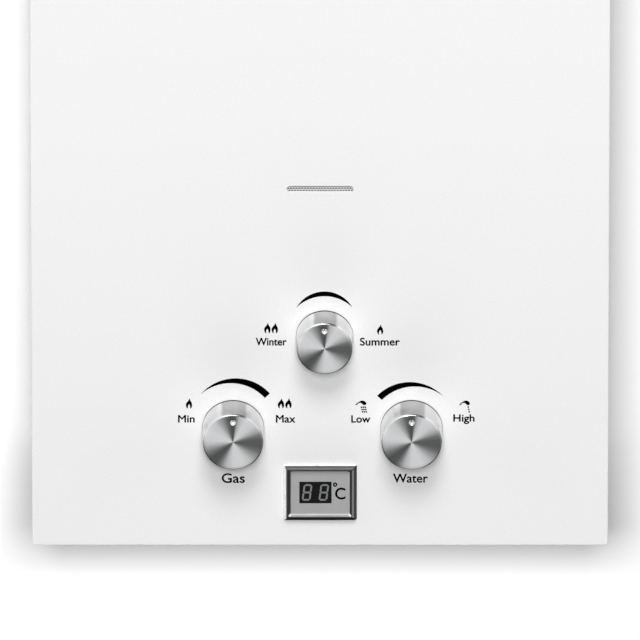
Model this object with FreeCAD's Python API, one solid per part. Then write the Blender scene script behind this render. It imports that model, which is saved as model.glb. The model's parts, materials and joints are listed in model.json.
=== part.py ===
import FreeCAD, Part
import math
import os

# Wall-hung portable propane water heater, in millimetres.
# The frame's origin is the centre of the four wall holes, on the wall plane.
# +Z is up, -Y is the front, where the knobs are, and +X is to the right of someone facing the heater.
# A height named *_height or *_level is measured from the underside of the casing.

# Casing
case_width = 330.0
case_height = 460.0
case_depth = 140.0
sheet = 1.0                 # steel sheet of the casing
edge_radius = 1.2           # outside bend radius of the cover
side_gap = 0.3              # between sheet pieces that lie side by side
lip_width = 8.0             # return lip of the cover round the underside
tab_height = 20.0           # wall tabs above and below the back plate
tab_width = 220.0
tab_corner = 6.0
wall_hole_spacing = 180.0
wall_hole_radius = 3.25
flange_depth = 14.0         # forward flanges of the back plate
flange_end = 18.0           # how far the side flanges stay from the top and the bottom
rib_width = 10.0            # pressed stiffening ribs of the back plate
rib_rise = 0.8
rib_inset = 40.0
rib_offset = 85.0

# Air slots
vent_count = 7
vent_length = 36.0
vent_width = 3.0
vent_pitch = 8.0
vent_first_height = 62.0
intake_back_gap = 6.0       # from the back plate to the slots of the bottom plate
intake_count = 11
intake_length = 24.0
intake_pitch = 12.0

# Window slot of the front panel
window_height = 221.5
window_length = 38.1
window_width = 3.9
mesh_thickness = 0.8
mesh_margin = 4.0
mesh_hole_radius = 0.58
mesh_pitch = 1.62
mesh_row_pitch = 1.3
mesh_rows = 3

# Knobs, with their places on the front panel
water_knob_inset = 112.6    # from the casing's right side to the water knob's axis
season_knob_run = 49.8      # from the water knob's axis to the season knob's
gas_knob_run = 102.1        # from the water knob's axis to the gas knob's
low_knob_height = 73.0
season_knob_height = 130.0
big_knob_radius = 17.7
small_knob_radius = 16.35
knob_depth = 19.3
knob_taper = 0.7
knob_chamfer = 0.7
knob_gap = 0.8              # between a knob and the panel
knob_wall = 2.5
knob_hub_radius = 7.5
knob_floor = 4.5            # metal behind the knob's face
dimple_radius = 2.1
dimple_sink = 0.9           # how far the dimple ball's centre stands out of the face
dimple_edge = 5.4           # from the dimple's centre to the knob's rim

# Spindles and valve plugs
spindle_radius = 4.0
spindle_flat = 1.0
spindle_flat_length = 12.0
run_gap = 0.05              # running clearance of a shaft in its bore
spindle_hole_radius = 6.5
gland_radius = 11.0
gland_length = 8.0
gas_plug_radius = 9.0
gas_plug_length = 34.0
season_plug_radius = 8.0
plug_port_radius = 4.0

# Gas valve
gas_body_half_height = 20.0
gas_body_half_depth = 22.0
gas_body_left_run = 26.5    # from the gas plug's axis to the body's left end
gas_body_right_run = 9.5    # from the season plug's axis to the body's right end
season_block_half_width = 14.0
season_block_top_height = 146.0
solenoid_cavity_radius = 10.0
solenoid_cavity_depth = 14.0
linkage_cavity_radius = 13.0
linkage_wall = 6.5          # between the gas plug's bore and the linkage cavity
seat_radius = 8.0
seat_run = 4.8              # from the seat's face to the season plug's axis
rod_wall = 4.0              # end wall that guides the push rod
disc_radius = 11.5
disc_thickness = 4.0
seat_gap = 0.3

# Solenoid
solenoid_radius = 13.0
solenoid_length = 32.0
solenoid_end = 5.0
plunger_radius = 4.0
plunger_head_radius = 8.0
plunger_head = 3.0
plunger_travel = 3.0
plunger_length = 24.0

# Water valve
water_disc_radius = 30.0
water_body_left = 13.0      # from the water knob's axis to the body's left face
water_body_right = 13.6
water_cavity_radius = 24.0
water_cavity_depth = 8.0
diaphragm_thickness = 1.5
water_flange = 5.0
water_dome_radius = 22.0
water_dome_length = 16.5
water_boss_radius = 9.0
water_boss_front = 38.0     # from the middle plane to the front of the spindle boss
water_inlet_boss_radius = 13.0
water_boss_rise = 4.0       # of the inlet and outlet bosses beyond the disc
water_bore_radius = 5.5
bridge_radius = 4.0         # two bars that join the water valve to the gas valve
bridge_offset = 14.0
valve_screw_count = 6
valve_screw_circle = 26.5
valve_screw_start = 10.0    # angle of the first screw, which keeps them clear of the drain's boss

# Push rod, its micro switch and springs
push_rod_radius = 2.5
push_rod_travel = 4.0
push_plate_radius = 16.0
push_plate_thickness = 2.0
plate_gap = 0.1
collar_radius = 6.0
collar_thickness = 4.0
switch_width = 21.0
switch_depth = 9.0
switch_height = 12.0
lever_thickness = 1.2
lever_length = 14.0
lever_hub_radius = 1.5
lever_pin_radius = 0.8
linkage_spring_radius = 8.0
linkage_spring_wire = 1.3
linkage_spring_turns = 7
solenoid_spring_radius = 5.6
solenoid_spring_wire = 0.9
solenoid_spring_turns = 3

# Burner
burner_level = 164.0
burner_height = 50.0
burner_count = 8
burner_pitch = 18.0
burner_thickness = 9.0
burner_lip = 13.0
burner_sheet = 0.8
burner_edge = 2.7
burner_clearance = 0.3
port_count = 12
port_width = 1.2
port_inset = 5.0            # of the first and last port from the bar's ends
venturi_radius = 3.6
nozzle_height = 8.0         # above the burner level
nozzle_radius = 3.0
nozzle_hole_radius = 4.5
nozzle_length = 8.5
manifold_depth = 10.5
manifold_rise = 36.0
manifold_gap = 1.5
manifold_arm = 14.0
manifold_end = 2.0

# Heat exchanger
exchanger_width = 160.0
exchanger_depth = 92.0
copper_sheet = 0.8
fin_height = 46.0
fin_count = 25
fin_thickness = 0.6
fin_pitch = 6.2
tube_radius = 6.35
tube_wall = 0.8
tube_count = 5
tube_pitch = 17.0
tube_gap = 0.3              # between the coil and the chamber
tube_seat_gap = 0.05        # between a tube and the fins
coil_low_level = 250.0
coil_high_level = 290.0
coil_bend = 14.0
entry_bend = 10.0
riser_setback = 22.0        # of the riser's axis from the wall
view_hole_width = 40.0
view_hole_height = 9.0
glass_margin = 4.0
glass_thickness = 0.5

# Exhaust hood and flue collar
hood_height = 60.0
hood_depth = 98.0
hood_bottom_width = 166.0
hood_top_width = 112.0
flue_radius = 45.0
flue_wall = 0.8
flue_neck_step = 1.0        # of the neck's radius below the collar's
flue_rise = 35.0
flue_drop = 6.0
flue_flange_radius = 58.0
flue_stop_height = 8.0      # where the flue pipe comes to rest
flue_stop_wall = 1.2

# Water and gas connections, half-inch pipe thread outside
hot_outlet_run = 68.3       # from the gas knob's axis to the hot outlet's
thread_radius = 10.48
thread_length = 20.0
thread_chamfer = 1.0
port_bore_radius = 7.0
port_body_radius = 12.0
port_hex = 27.0
port_hex_height = 6.0
hot_port_top = 14.0
pipe_bend = 12.0
hot_pipe_level = 36.0

# Drain plug
drain_offset_x = 22.1       # from the water knob's axis
drain_offset_y = 20.0
drain_boss_radius = 7.0
drain_boss_height = 14.0    # of the boss's lower end
drain_bore_depth = 16.0
drain_shank_radius = 4.5
drain_shank_length = 14.0
drain_neck_radius = 6.5
drain_head_radius = 7.5
drain_head_length = 14.0
drain_head_drop = 0.5       # of the head's top below the bottom plate
drain_hole_radius = 8.5
drain_flutes = 10
seal_wire = 1.25
seal_gap = 0.2

# Battery box, for two D cells, and its door
cell_radius = 17.1
cell_length = 61.5
cell_gap = 0.6
box_wall = 1.6
box_flange = 2.5
box_side_inset = 8.6        # from the cover's side to the box
box_front_inset = 9.0       # from the front panel to the box
door_thickness = 2.0
door_gap = 0.3
hinge_radius = 0.8
hinge_setback = 1.6
hinge_edge_radius = 1.2
door_grip_width = 14.0
door_grip_depth = 2.0
door_grip_rise = 0.8

# Ignition controller, its leads, and small parts
controller_gap = 7.0        # between the riser pipe and the controller
controller_depth = 30.0
controller_bottom = 62.0
controller_height = 88.0
controller_side_inset = 8.0
lead_radius = 1.2
lead_bend = 12.0
lead_inset = 12.0           # from the controller's edge to the first lead, and on to the second
near_lane = 6.5             # of the ignition lead behind the front panel
far_lane = 3.0              # of the sensor lead behind the front panel
lead_reach = 25.0           # how far a lead comes forward of the middle before it climbs
lead_stagger = 10.0
lead_drop = 16.0            # of the sensor lead's crossing below the window's height
cable_radius = 1.5
cable_bend = 7.0
cable_start_x = 10.0
cable_lane = 10.0           # behind the display
cable_box_gap = 3.5
cable_over_box = 16.0       # over the battery box
cable_inset = 30.0          # from the controller's edge
electrode_offset = 45.0
ceramic_radius = 3.5
ceramic_length = 22.0
pin_radius = 1.2
pin_bend = 2.5
pin_tail = 2.0              # from the front panel to the pin's outer end
pin_overhang = 4.0
pin_rise = 1.0              # of the pin's tip over the burner
bracket_width = 20.0
bracket_sheet = 1.2
bracket_flange = 12.0
bracket_offset = 50.0
probe_radius = 9.0
probe_length = 10.0
probe_height = 120.0
switch_disc_radius = 8.0
switch_disc_thickness = 7.0
overheat_height = 228.0

# Display
display_height = 33.5
display_width = 42.2
display_tall = 34.3
frame_rise = 3.2
frame_slope = 2.0
frame_land = 0.8
frame_opening_width = 33.2
frame_opening_tall = 26.9
frame_step = 1.0            # height of the opening's edge over the panel
sleeve_inset = 2.1
sleeve_wall = 1.2
sleeve_depth = 14.0
face_thickness = 1.2
module_width = 18.4
module_tall = 13.5
module_depth = 8.0
module_shift = -2.6
module_sink = 0.4
digit_height = 10.2
digit_width = 5.0
digit_pitch = 9.6
digit_slant = 0.12          # sideways lean of a digit for each unit of height
segment_width = 1.0
segment_thickness = 0.25
segment_gap = 0.12
board_back_depth = 8.0

# Screws
lip_screw_offset = 60.0     # of the screws of the front lip from the middle
lip_screw_setback = 8.0     # behind the front panel, on a tab of the lip
lip_tab_depth = 12.0
lip_tab_width = 14.0
side_screw_setback = 30.0   # of the side lips' screws from the wall
top_screw_inset = 34.0      # of the top screws from the cover's sides
screw_head_radius = 2.8
screw_head_height = 1.8
screw_shank_radius = 1.6
screw_length = 8.0
screw_hole_gap = 0.05
drive_width = 0.7
drive_length = 3.4
drive_depth = 0.7

# Places worked out from the sizes above
case_bottom = -case_height / 2
case_top = case_height / 2
flue_neck_radius = flue_radius - flue_neck_step
front = -case_depth
middle = -case_depth / 2
plate_front = -sheet
cover_back = plate_front - side_gap
inner_front = front + sheet
inner_side = case_width / 2 - sheet
inner_top = case_top - sheet
bottom_plate_low = case_bottom + sheet + side_gap
bottom_plate_high = bottom_plate_low + sheet


water_knob_x = case_width / 2 - water_knob_inset
season_knob_x = water_knob_x - season_knob_run
gas_knob_x = water_knob_x - gas_knob_run
hot_outlet_x = gas_knob_x - hot_outlet_run


def up(height):
    """The z of a height above the underside of the casing."""
    return case_bottom + height


low_knob_z = up(low_knob_height)
season_knob_z = up(season_knob_height)
window_z = up(window_height)
display_z = up(display_height)
knob_back = front - knob_gap
knob_face = knob_back - knob_depth
spindle_tip = knob_face + knob_floor

hood_top = inner_top - side_gap
hood_bottom = hood_top - hood_height
fin_top = hood_bottom
fin_bottom = fin_top - fin_height
fin_middle = (fin_top + fin_bottom) / 2
burner_bottom = up(burner_level)
burner_top = burner_bottom + burner_height
exchanger_front = middle - exchanger_depth / 2
exchanger_back = middle + exchanger_depth / 2

gas_body_left = gas_knob_x - gas_body_left_run
gas_body_right = season_knob_x + gas_body_right_run
gas_body_front = middle - gas_body_half_depth
gas_body_back = middle + gas_body_half_depth
gas_body_low = low_knob_z - gas_body_half_height
gas_body_high = low_knob_z + gas_body_half_height
solenoid_seat = gas_body_left + solenoid_cavity_depth
gas_inlet_x = gas_body_left + solenoid_cavity_depth / 2
linkage_left = gas_knob_x + gas_plug_radius + linkage_wall
seat_x = season_knob_x - seat_run
season_block_top = up(season_block_top_height)
plug_bore_back = gas_body_front + gas_plug_length + 2 * run_gap

water_left = water_knob_x - water_body_left
water_right = water_knob_x + water_body_right
water_boss_face = middle - water_boss_front
water_outlet_y = middle + water_disc_radius + water_boss_rise
cold_port_top = low_knob_z - water_disc_radius - water_boss_rise
diaphragm_right = water_right + diaphragm_thickness
drain_x = water_knob_x + drain_offset_x
drain_y = middle - drain_offset_y

coil_x = exchanger_width / 2 + tube_gap + tube_radius
coil_y = exchanger_depth / 2 + tube_gap + tube_radius
first_tube_y = middle - tube_pitch * (tube_count - 1) / 2
last_tube_y = middle + tube_pitch * (tube_count - 1) / 2

box_inner_width = 4 * cell_radius + 2 * cell_gap
box_inner_length = cell_length + 5 * cell_gap
box_inner_height = 2 * cell_radius + 2 * cell_gap
box_right = case_width / 2 - box_side_inset
box_x = box_right - box_wall - box_inner_width / 2
box_front = front + box_front_inset
box_y = box_front + box_wall + box_inner_length / 2
box_back = box_front + 2 * box_wall + box_inner_length
door_low = bottom_plate_high - door_thickness
hinge_y = box_back - box_wall - hinge_setback
hinge_z = bottom_plate_high - door_thickness / 2

controller_right = inner_side - controller_side_inset
controller_left = coil_x + tube_radius + controller_gap
controller_front = plate_front - controller_depth


# Plain shapes

def box(x0, x1, y0, y1, z0, z1):
    """A box between two corners."""
    return Part.makeBox(x1 - x0, y1 - y0, z1 - z0, FreeCAD.Vector(x0, y0, z0))


def rod_x(x0, x1, y, z, radius):
    """A round bar along X."""
    return Part.makeCylinder(radius, x1 - x0, FreeCAD.Vector(x0, y, z), FreeCAD.Vector(1, 0, 0))


def rod_y(x, y0, y1, z, radius):
    """A round bar along Y."""
    return Part.makeCylinder(radius, y1 - y0, FreeCAD.Vector(x, y0, z), FreeCAD.Vector(0, 1, 0))


def rod_z(x, y, z0, z1, radius):
    """A round bar along Z."""
    return Part.makeCylinder(radius, z1 - z0, FreeCAD.Vector(x, y, z0), FreeCAD.Vector(0, 0, 1))


def hex_z(x, y, z0, z1, across_flats):
    """A hexagonal bar along Z."""
    corner = across_flats / math.sqrt(3)
    points = [
        FreeCAD.Vector(x + corner * math.cos(math.radians(60 * k)), y + corner * math.sin(math.radians(60 * k)), z0)
        for k in range(7)
    ]
    face = Part.Face(Part.makePolygon(points))
    return face.extrude(FreeCAD.Vector(0, 0, z1 - z0))


def hex_y(x, y0, y1, z, across_flats):
    """A hexagonal bar along Y."""
    corner = across_flats / math.sqrt(3)
    points = [
        FreeCAD.Vector(x + corner * math.cos(math.radians(60 * k)), y0, z + corner * math.sin(math.radians(60 * k)))
        for k in range(7)
    ]
    face = Part.Face(Part.makePolygon(points))
    return face.extrude(FreeCAD.Vector(0, y1 - y0, 0))


def slot(length, width, depth):
    """A slot-shaped bar about the origin: length along X, width along Z, depth along Y from 0."""
    half = (length - width) / 2
    middle_bar = box(-half, half, 0, depth, -width / 2, width / 2)
    ends = [rod_y(side * half, 0, depth, 0, width / 2) for side in (-1, 1)]
    return middle_bar.fuse(ends).removeSplitter()


def moved(shape, x, y, z):
    """A copy of the shape, moved."""
    copy = shape.copy()
    copy.translate(FreeCAD.Vector(x, y, z))
    return copy


def frustum_y(width0, tall0, y0, width1, tall1, y1, x, z):
    """A solid between two upright rectangles, one at y0 and one at y1, both centred on x and z."""
    wires = []
    for width, tall, y in ((width0, tall0, y0), (width1, tall1, y1)):
        corners = [(-1, -1), (1, -1), (1, 1), (-1, 1), (-1, -1)]
        wires.append(Part.makePolygon([FreeCAD.Vector(x + a * width / 2, y, z + b * tall / 2) for a, b in corners]))
    return Part.makeLoft(wires, True, True)


def turned_y(profile, x, z):
    """A turned solid about the line along Y through x and z. The profile is a list of (radius, y)."""
    points = [FreeCAD.Vector(x + radius, y, z) for radius, y in profile]
    face = Part.Face(Part.makePolygon(points + [points[0]]))
    return face.revolve(FreeCAD.Vector(x, 0, z), FreeCAD.Vector(0, 1, 0), 360)


def turned_z(profile, x, y):
    """A turned solid about the upright line through x and y. The profile is a list of (radius, z)."""
    points = [FreeCAD.Vector(x + radius, y, z) for radius, z in profile]
    face = Part.Face(Part.makePolygon(points + [points[0]]))
    return face.revolve(FreeCAD.Vector(x, y, 0), FreeCAD.Vector(0, 0, 1), 360)


def bent_path(points, bend):
    """Straight runs through the points, with a tangent arc of the bend radius at each inner point."""
    corners = [FreeCAD.Vector(*p) for p in points]
    edges = []
    start = corners[0]
    for before, corner, after in zip(corners, corners[1:], corners[2:]):
        back = (before - corner).normalize()
        ahead = (after - corner).normalize()
        half_turn = (math.pi - back.getAngle(ahead)) / 2
        trim = bend * math.tan(half_turn)
        arc_start = corner + back * trim
        arc_end = corner + ahead * trim
        bisector = (back + ahead).normalize()
        arc_middle = corner + bisector * (bend / math.cos(half_turn) - bend)
        edges.append(Part.LineSegment(start, arc_start).toShape())
        edges.append(Part.Arc(arc_start, arc_middle, arc_end).toShape())
        start = arc_end
    edges.append(Part.LineSegment(start, corners[-1]).toShape())
    return Part.Wire(edges)


def swept(path, radius):
    """A round bar along a smooth path."""
    first = path.Edges[0]
    start = first.valueAt(first.FirstParameter)
    ring = Part.Wire(Part.makeCircle(radius, start, first.tangentAt(first.FirstParameter)))
    return path.makePipeShell([ring], True, False)


def pipe(points, bend, radius, wall):
    """A bent tube through the points."""
    path = bent_path(points, bend)
    return swept(path, radius).cut(swept(path, radius - wall))


def spring_x(x0, x1, y, z, radius, wire, turns):
    """A coil spring along X between two planes, with its end turns inside them."""
    length = x1 - x0 - wire
    helix = Part.makeHelix(length / turns, length, radius)
    ring = Part.Wire(Part.makeCircle(wire / 2, FreeCAD.Vector(radius, 0, 0), FreeCAD.Vector(0, 1, 0)))
    coil = Part.Wire(helix).makePipeShell([ring], True, True)
    coil.rotate(FreeCAD.Vector(0, 0, 0), FreeCAD.Vector(0, 1, 0), 90)
    return moved(coil, x0 + wire / 2, y, z)


def screw(x, y, z, direction):
    """A pan-head screw whose head stands on the point and whose shank runs along the direction."""
    head = Part.makeCylinder(screw_head_radius, screw_head_height, FreeCAD.Vector(0, 0, 0))
    rim = [edge for edge in head.Edges if edge.BoundBox.ZMin > screw_head_height / 2 and not edge.isSeam(head.Faces[0])]
    head = head.makeFillet(screw_head_height * 0.4, rim)
    shank = Part.makeCylinder(screw_shank_radius, screw_length, FreeCAD.Vector(0, 0, -screw_length))
    body = head.fuse(shank).removeSplitter()
    top = screw_head_height - drive_depth
    for a, b in ((drive_length, drive_width), (drive_width, drive_length)):
        body = body.cut(box(-a / 2, a / 2, -b / 2, b / 2, top, screw_head_height + drive_depth))
    away = FreeCAD.Vector(*direction) * -1
    body.Placement = FreeCAD.Placement(
        FreeCAD.Vector(x, y, z), FreeCAD.Rotation(FreeCAD.Vector(0, 0, 1), away)
    )
    return body


def screw_hole(x, y, z, direction):
    """The hole that a screw's shank passes through."""
    d = FreeCAD.Vector(*direction)
    start = FreeCAD.Vector(x, y, z) - d * screw_head_height
    return Part.makeCylinder(screw_shank_radius + screw_hole_gap, screw_length + 2 * screw_head_height, start, d)


def group(shapes):
    """Separate solids that share one node."""
    return Part.makeCompound(shapes)


# Where the screws stand: (x, y, z, direction of the shank)

def cover_screw_places():
    """Two pairs under the casing and one pair on its top."""
    low = case_bottom
    side = case_width / 2 - lip_width / 2 - sheet
    top_x = inner_side - top_screw_inset
    places = [(s * lip_screw_offset, front + lip_screw_setback, low, (0, 0, 1)) for s in (-1, 1)]
    places += [(s * side, -side_screw_setback, low, (0, 0, 1)) for s in (-1, 1)]
    places += [(s * top_x, plate_front - flange_depth / 2, case_top, (0, 0, -1)) for s in (-1, 1)]
    return places


def collar_screw_places():
    """Four screws on the flange of the flue collar."""
    radius = (flue_radius + flue_flange_radius) / 2
    angles = [math.radians(45 + 90 * k) for k in range(4)]
    z = case_top + sheet
    return [(radius * math.cos(a), middle + radius * math.sin(a), z, (0, 0, -1)) for a in angles]


def valve_screw_places():
    """Screws round the water valve's cover."""
    turn = 360 / valve_screw_count
    angles = [math.radians(valve_screw_start + turn * k) for k in range(valve_screw_count)]
    x = diaphragm_right + water_flange
    return [
        (x, middle + valve_screw_circle * math.cos(a), low_knob_z + valve_screw_circle * math.sin(a), (-1, 0, 0))
        for a in angles
    ]


# Casing

def rounded_shell_block(x_half, y0, y1, z0, z1, radius):
    """A block with round front edges and round edges along Y, and a sharp back."""
    block = box(-x_half, x_half, y0, y1, z0, z1)
    edges = [e for e in block.Edges if e.BoundBox.YMin < y0 + radius / 2]
    return block.makeFillet(radius, edges)


def window_cut():
    """The slot in the front panel."""
    return moved(slot(window_length, window_width, 3 * sheet), 0, front - sheet, window_z)


def front_cover():
    """Folded and painted cover: front panel, two sides, top, and a lip round the underside."""
    outer = rounded_shell_block(case_width / 2, front, cover_back, case_bottom, case_top, edge_radius)
    inner = rounded_shell_block(
        inner_side, inner_front, cover_back + sheet, case_bottom + sheet, inner_top, edge_radius - sheet
    )
    cover = outer.cut(inner)
    half_opening = case_width / 2 - lip_width
    opening = box(-half_opening, half_opening, front + lip_width, 0, case_bottom - sheet, case_bottom + 2 * sheet)
    tabs = [
        box(
            x - lip_tab_width / 2, x + lip_tab_width / 2, front, front + lip_tab_depth,
            case_bottom - sheet, case_bottom + 2 * sheet,
        )
        for x in (-lip_screw_offset, lip_screw_offset)
    ]
    cuts = [
        opening.cut(tabs),
        rod_z(0, middle, inner_top - sheet, case_top + sheet, flue_neck_radius + side_gap),
        window_cut(),
        frustum_y(
            display_width - 2 * sleeve_inset + 2 * run_gap, display_tall - 2 * sleeve_inset + 2 * run_gap,
            front - sheet,
            display_width - 2 * sleeve_inset + 2 * run_gap, display_tall - 2 * sleeve_inset + 2 * run_gap,
            inner_front + sheet, 0, display_z,
        ),
    ]
    for x, z in ((gas_knob_x, low_knob_z), (water_knob_x, low_knob_z), (season_knob_x, season_knob_z)):
        cuts.append(rod_y(x, front - sheet, inner_front + sheet, z, spindle_hole_radius))
    vent = slot(vent_length, vent_width, 3 * sheet)
    vent.rotate(FreeCAD.Vector(0, 0, 0), FreeCAD.Vector(0, 0, 1), 90)
    for side in (-1, 1):
        x = side * (case_width / 2 - sheet / 2) + 1.5 * sheet
        for k in range(vent_count):
            cuts.append(moved(vent, x, middle, up(vent_first_height + k * vent_pitch)))
    cuts += [screw_hole(*place) for place in cover_screw_places() + collar_screw_places()]
    return cover.cut(cuts)


def back_plate():
    """Galvanised plate against the wall, with tabs for four wall screws, flanges and pressed ribs."""
    plate = box(-case_width / 2, case_width / 2, plate_front, 0, case_bottom, case_top)
    tab = box(-tab_width / 2, tab_width / 2, plate_front, 0, case_bottom - tab_height, case_top + tab_height)
    corners = [
        e for e in tab.Edges
        if e.BoundBox.YLength > sheet / 2
    ]
    plate = plate.fuse(tab.makeFillet(tab_corner, corners))
    flange_outer = inner_side - side_gap
    for side in (-1, 1):
        a, b = sorted((side * flange_outer, side * (flange_outer - sheet)))
        plate = plate.fuse(
            box(a, b, plate_front - flange_depth, 0, case_bottom + flange_end, case_top - flange_end)
        )
    top_half = inner_side - flange_end
    plate = plate.fuse(
        box(-top_half, top_half, plate_front - flange_depth, 0, inner_top - side_gap - sheet, inner_top - side_gap)
    )
    notch_half = hood_top_width / 2 + 2 * side_gap
    plate = plate.cut(
        box(-notch_half, notch_half, plate_front - 2 * flange_depth, plate_front, inner_top - 3 * sheet, case_top)
    )
    rib_length = case_height - 2 * rib_inset
    bump = slot(rib_length, rib_width, sheet)
    hollow = slot(rib_length - 2 * rib_rise, rib_width - 2 * rib_rise, sheet)
    for shape in (bump, hollow):
        shape.rotate(FreeCAD.Vector(0, 0, 0), FreeCAD.Vector(0, 1, 0), 90)
    for side in (-1, 1):
        plate = plate.fuse(moved(bump, side * rib_offset, plate_front - rib_rise, 0))
        plate = plate.cut(moved(hollow, side * rib_offset, -rib_rise, 0))
    holes = [rod_y(x, -2 * sheet, sheet, z, wall_hole_radius) for x, z in wall_holes()]
    holes += [screw_hole(*place) for place in cover_screw_places() if place[2] == case_top]
    return plate.cut(holes).removeSplitter()


def wall_holes():
    """The centres of the four wall holes, as (x, z)."""
    z = case_height / 2 + tab_height / 2
    return [(sx * wall_hole_spacing / 2, sz * z) for sx in (-1, 1) for sz in (-1, 1)]


def bottom_plate():
    """Plate that closes the underside and carries the connections, with air slots at the rear."""
    half = inner_side - edge_radius
    plate = box(-half, half, inner_front + edge_radius, plate_front, bottom_plate_low, bottom_plate_high)
    upstand = box(
        -half + flange_end, half - flange_end, plate_front - sheet, plate_front, bottom_plate_low, up(flange_end)
    )
    cuts = [
        rod_z(x, middle, case_bottom, up(flange_end), port_body_radius + side_gap)
        for x in (hot_outlet_x, gas_inlet_x, water_knob_x)
    ]
    cuts.append(rod_z(drain_x, drain_y, case_bottom, up(flange_end), drain_hole_radius))
    cuts.append(
        box(
            box_x - box_inner_width / 2 - box_wall - door_gap, box_right + door_gap,
            box_front - door_gap, box_back + door_gap, case_bottom, up(flange_end),
        )
    )
    intake = slot(intake_length, vent_width, 3 * sheet)
    intake.rotate(FreeCAD.Vector(0, 0, 0), FreeCAD.Vector(1, 0, 0), 90)
    intake.rotate(FreeCAD.Vector(0, 0, 0), FreeCAD.Vector(0, 0, 1), 90)
    intake_y = plate_front - sheet - intake_back_gap - intake_length / 2
    first = -intake_pitch * (intake_count - 1) / 2
    for k in range(intake_count):
        cuts.append(moved(intake, first + k * intake_pitch, intake_y, bottom_plate_low - sheet))
    cuts += [screw_hole(*place) for place in cover_screw_places() if place[2] == case_bottom]
    return plate.fuse(upstand).cut(cuts)


def cover_screws():
    """Screws that hold the cover, under the casing and on its top."""
    return group([screw(*place) for place in cover_screw_places()])


# Flue

def flue_collar():
    """Round tube that the flue pipe slides over, down to a bead, with a narrower neck through the casing's top."""
    low, high = hood_top - flue_drop, case_top + flue_rise
    bead_low = case_top + flue_stop_height
    bead_high = bead_low + flue_stop_wall
    bead = flue_radius + flue_stop_wall
    profile = [
        (flue_neck_radius - flue_wall, low), (flue_neck_radius, low), (flue_neck_radius, bead_low),
        (bead, bead_low), (bead, bead_high), (flue_radius, bead_high), (flue_radius, high),
        (flue_radius - flue_wall, high), (flue_radius - flue_wall, bead_high + flue_wall),
        (flue_neck_radius - flue_wall, bead_high + flue_wall),
    ]
    return turned_z(profile, 0, middle)


def flue_flange():
    """Ring that holds the collar on the casing's top, with an upstand below the collar's bead."""
    stop = flue_radius + flue_stop_wall
    profile = [
        (flue_neck_radius, case_top), (flue_flange_radius, case_top), (flue_flange_radius, case_top + sheet),
        (stop, case_top + sheet), (stop, case_top + flue_stop_height),
        (flue_neck_radius, case_top + flue_stop_height),
    ]
    ring = turned_z(profile, 0, middle)
    return ring.cut([screw_hole(*place) for place in collar_screw_places()])


def collar_screws():
    """Screws of the flue collar."""
    return group([screw(*place) for place in collar_screw_places()])


def hood_block(inset):
    """The hood's outline, narrower at the top, made smaller by the inset."""
    low, high = hood_bottom - inset, hood_top - inset
    low_half = hood_bottom_width / 2 - inset
    high_half = hood_top_width / 2 - inset
    points = [(-low_half, low), (low_half, low), (high_half, high), (-high_half, high), (-low_half, low)]
    y = middle - hood_depth / 2 + inset
    face = Part.Face(Part.makePolygon([FreeCAD.Vector(a, y, b) for a, b in points]))
    return face.extrude(FreeCAD.Vector(0, hood_depth - 2 * inset, 0))


def exhaust_hood():
    """Sheet hood that gathers the exhaust under the flue collar."""
    hood = hood_block(0).cut(hood_block(sheet))
    hood = hood.cut(rod_z(0, middle, hood_top - 2 * sheet, case_top, flue_neck_radius + side_gap))
    return hood.cut([screw_hole(*place) for place in collar_screw_places()])


# Heat exchanger

def tube_rows():
    """The y of each tube that crosses the fins."""
    return [first_tube_y + k * tube_pitch for k in range(tube_count)]


def exchanger_fins():
    """Thin copper fins, a row of separate plates on the tubes."""
    first = -fin_pitch * (fin_count - 1) / 2 - fin_thickness / 2
    fin = box(first, first + fin_thickness, exchanger_front, exchanger_back, fin_bottom, fin_top)
    holes = [rod_x(first - 1, first + 1 + fin_thickness, y, fin_middle, tube_radius + tube_seat_gap) for y in tube_rows()]
    fin = fin.cut(holes)
    return group([moved(fin, k * fin_pitch, 0, 0) for k in range(fin_count)])


def exchanger_tubes():
    """One tube that crosses the fins to and fro, with a return bend at each end of a run."""
    turn = coil_x - entry_bend
    edges = []
    rows = tube_rows()
    side = 1
    for k, y in enumerate(rows):
        start = FreeCAD.Vector(side * turn, y, fin_middle)
        end = FreeCAD.Vector(-side * turn, y, fin_middle)
        edges.append(Part.LineSegment(start, end).toShape())
        if k + 1 < len(rows):
            after = FreeCAD.Vector(-side * turn, rows[k + 1], fin_middle)
            crown = FreeCAD.Vector(-side * (turn + tube_pitch / 2), (y + rows[k + 1]) / 2, fin_middle)
            edges.append(Part.Arc(end, crown, after).toShape())
        side = -side
    path = Part.Wire(edges)
    return swept(path, tube_radius).cut(swept(path, tube_radius - tube_wall))


def round_tower(x_half, y0, y1, z0, z1, radius):
    """An upright block with four round corners."""
    block = box(-x_half, x_half, y0, y1, z0, z1)
    return block.makeFillet(radius, [e for e in block.Edges if e.BoundBox.ZLength > (z1 - z0) / 2])


def combustion_chamber():
    """Copper box over the burner, open at both ends, with a hole to see the flames through."""
    half = exchanger_width / 2
    corner = coil_bend - tube_radius - tube_gap
    outer = round_tower(half, exchanger_front, exchanger_back, burner_top, fin_bottom, corner)
    inner = round_tower(
        half - copper_sheet, exchanger_front + copper_sheet, exchanger_back - copper_sheet, burner_top, fin_bottom,
        corner - copper_sheet,
    )
    view = box(
        -view_hole_width / 2, view_hole_width / 2, exchanger_front - 1, exchanger_front + 1,
        window_z - view_hole_height / 2, window_z + view_hole_height / 2,
    )
    holes = [
        rod_y(side * electrode_offset, exchanger_front - 1, exchanger_front + 1, window_z, ceramic_radius + tube_seat_gap)
        for side in (-1, 1)
    ]
    return outer.cut([inner, view] + holes)


def sight_glass():
    """Mica pane in front of the hole in the chamber."""
    half = view_hole_width / 2 + glass_margin
    tall = view_hole_height / 2 + glass_margin
    return box(
        -half, half, exchanger_front - glass_thickness, exchanger_front,
        max(window_z - tall, burner_top), window_z + tall,
    )


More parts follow.
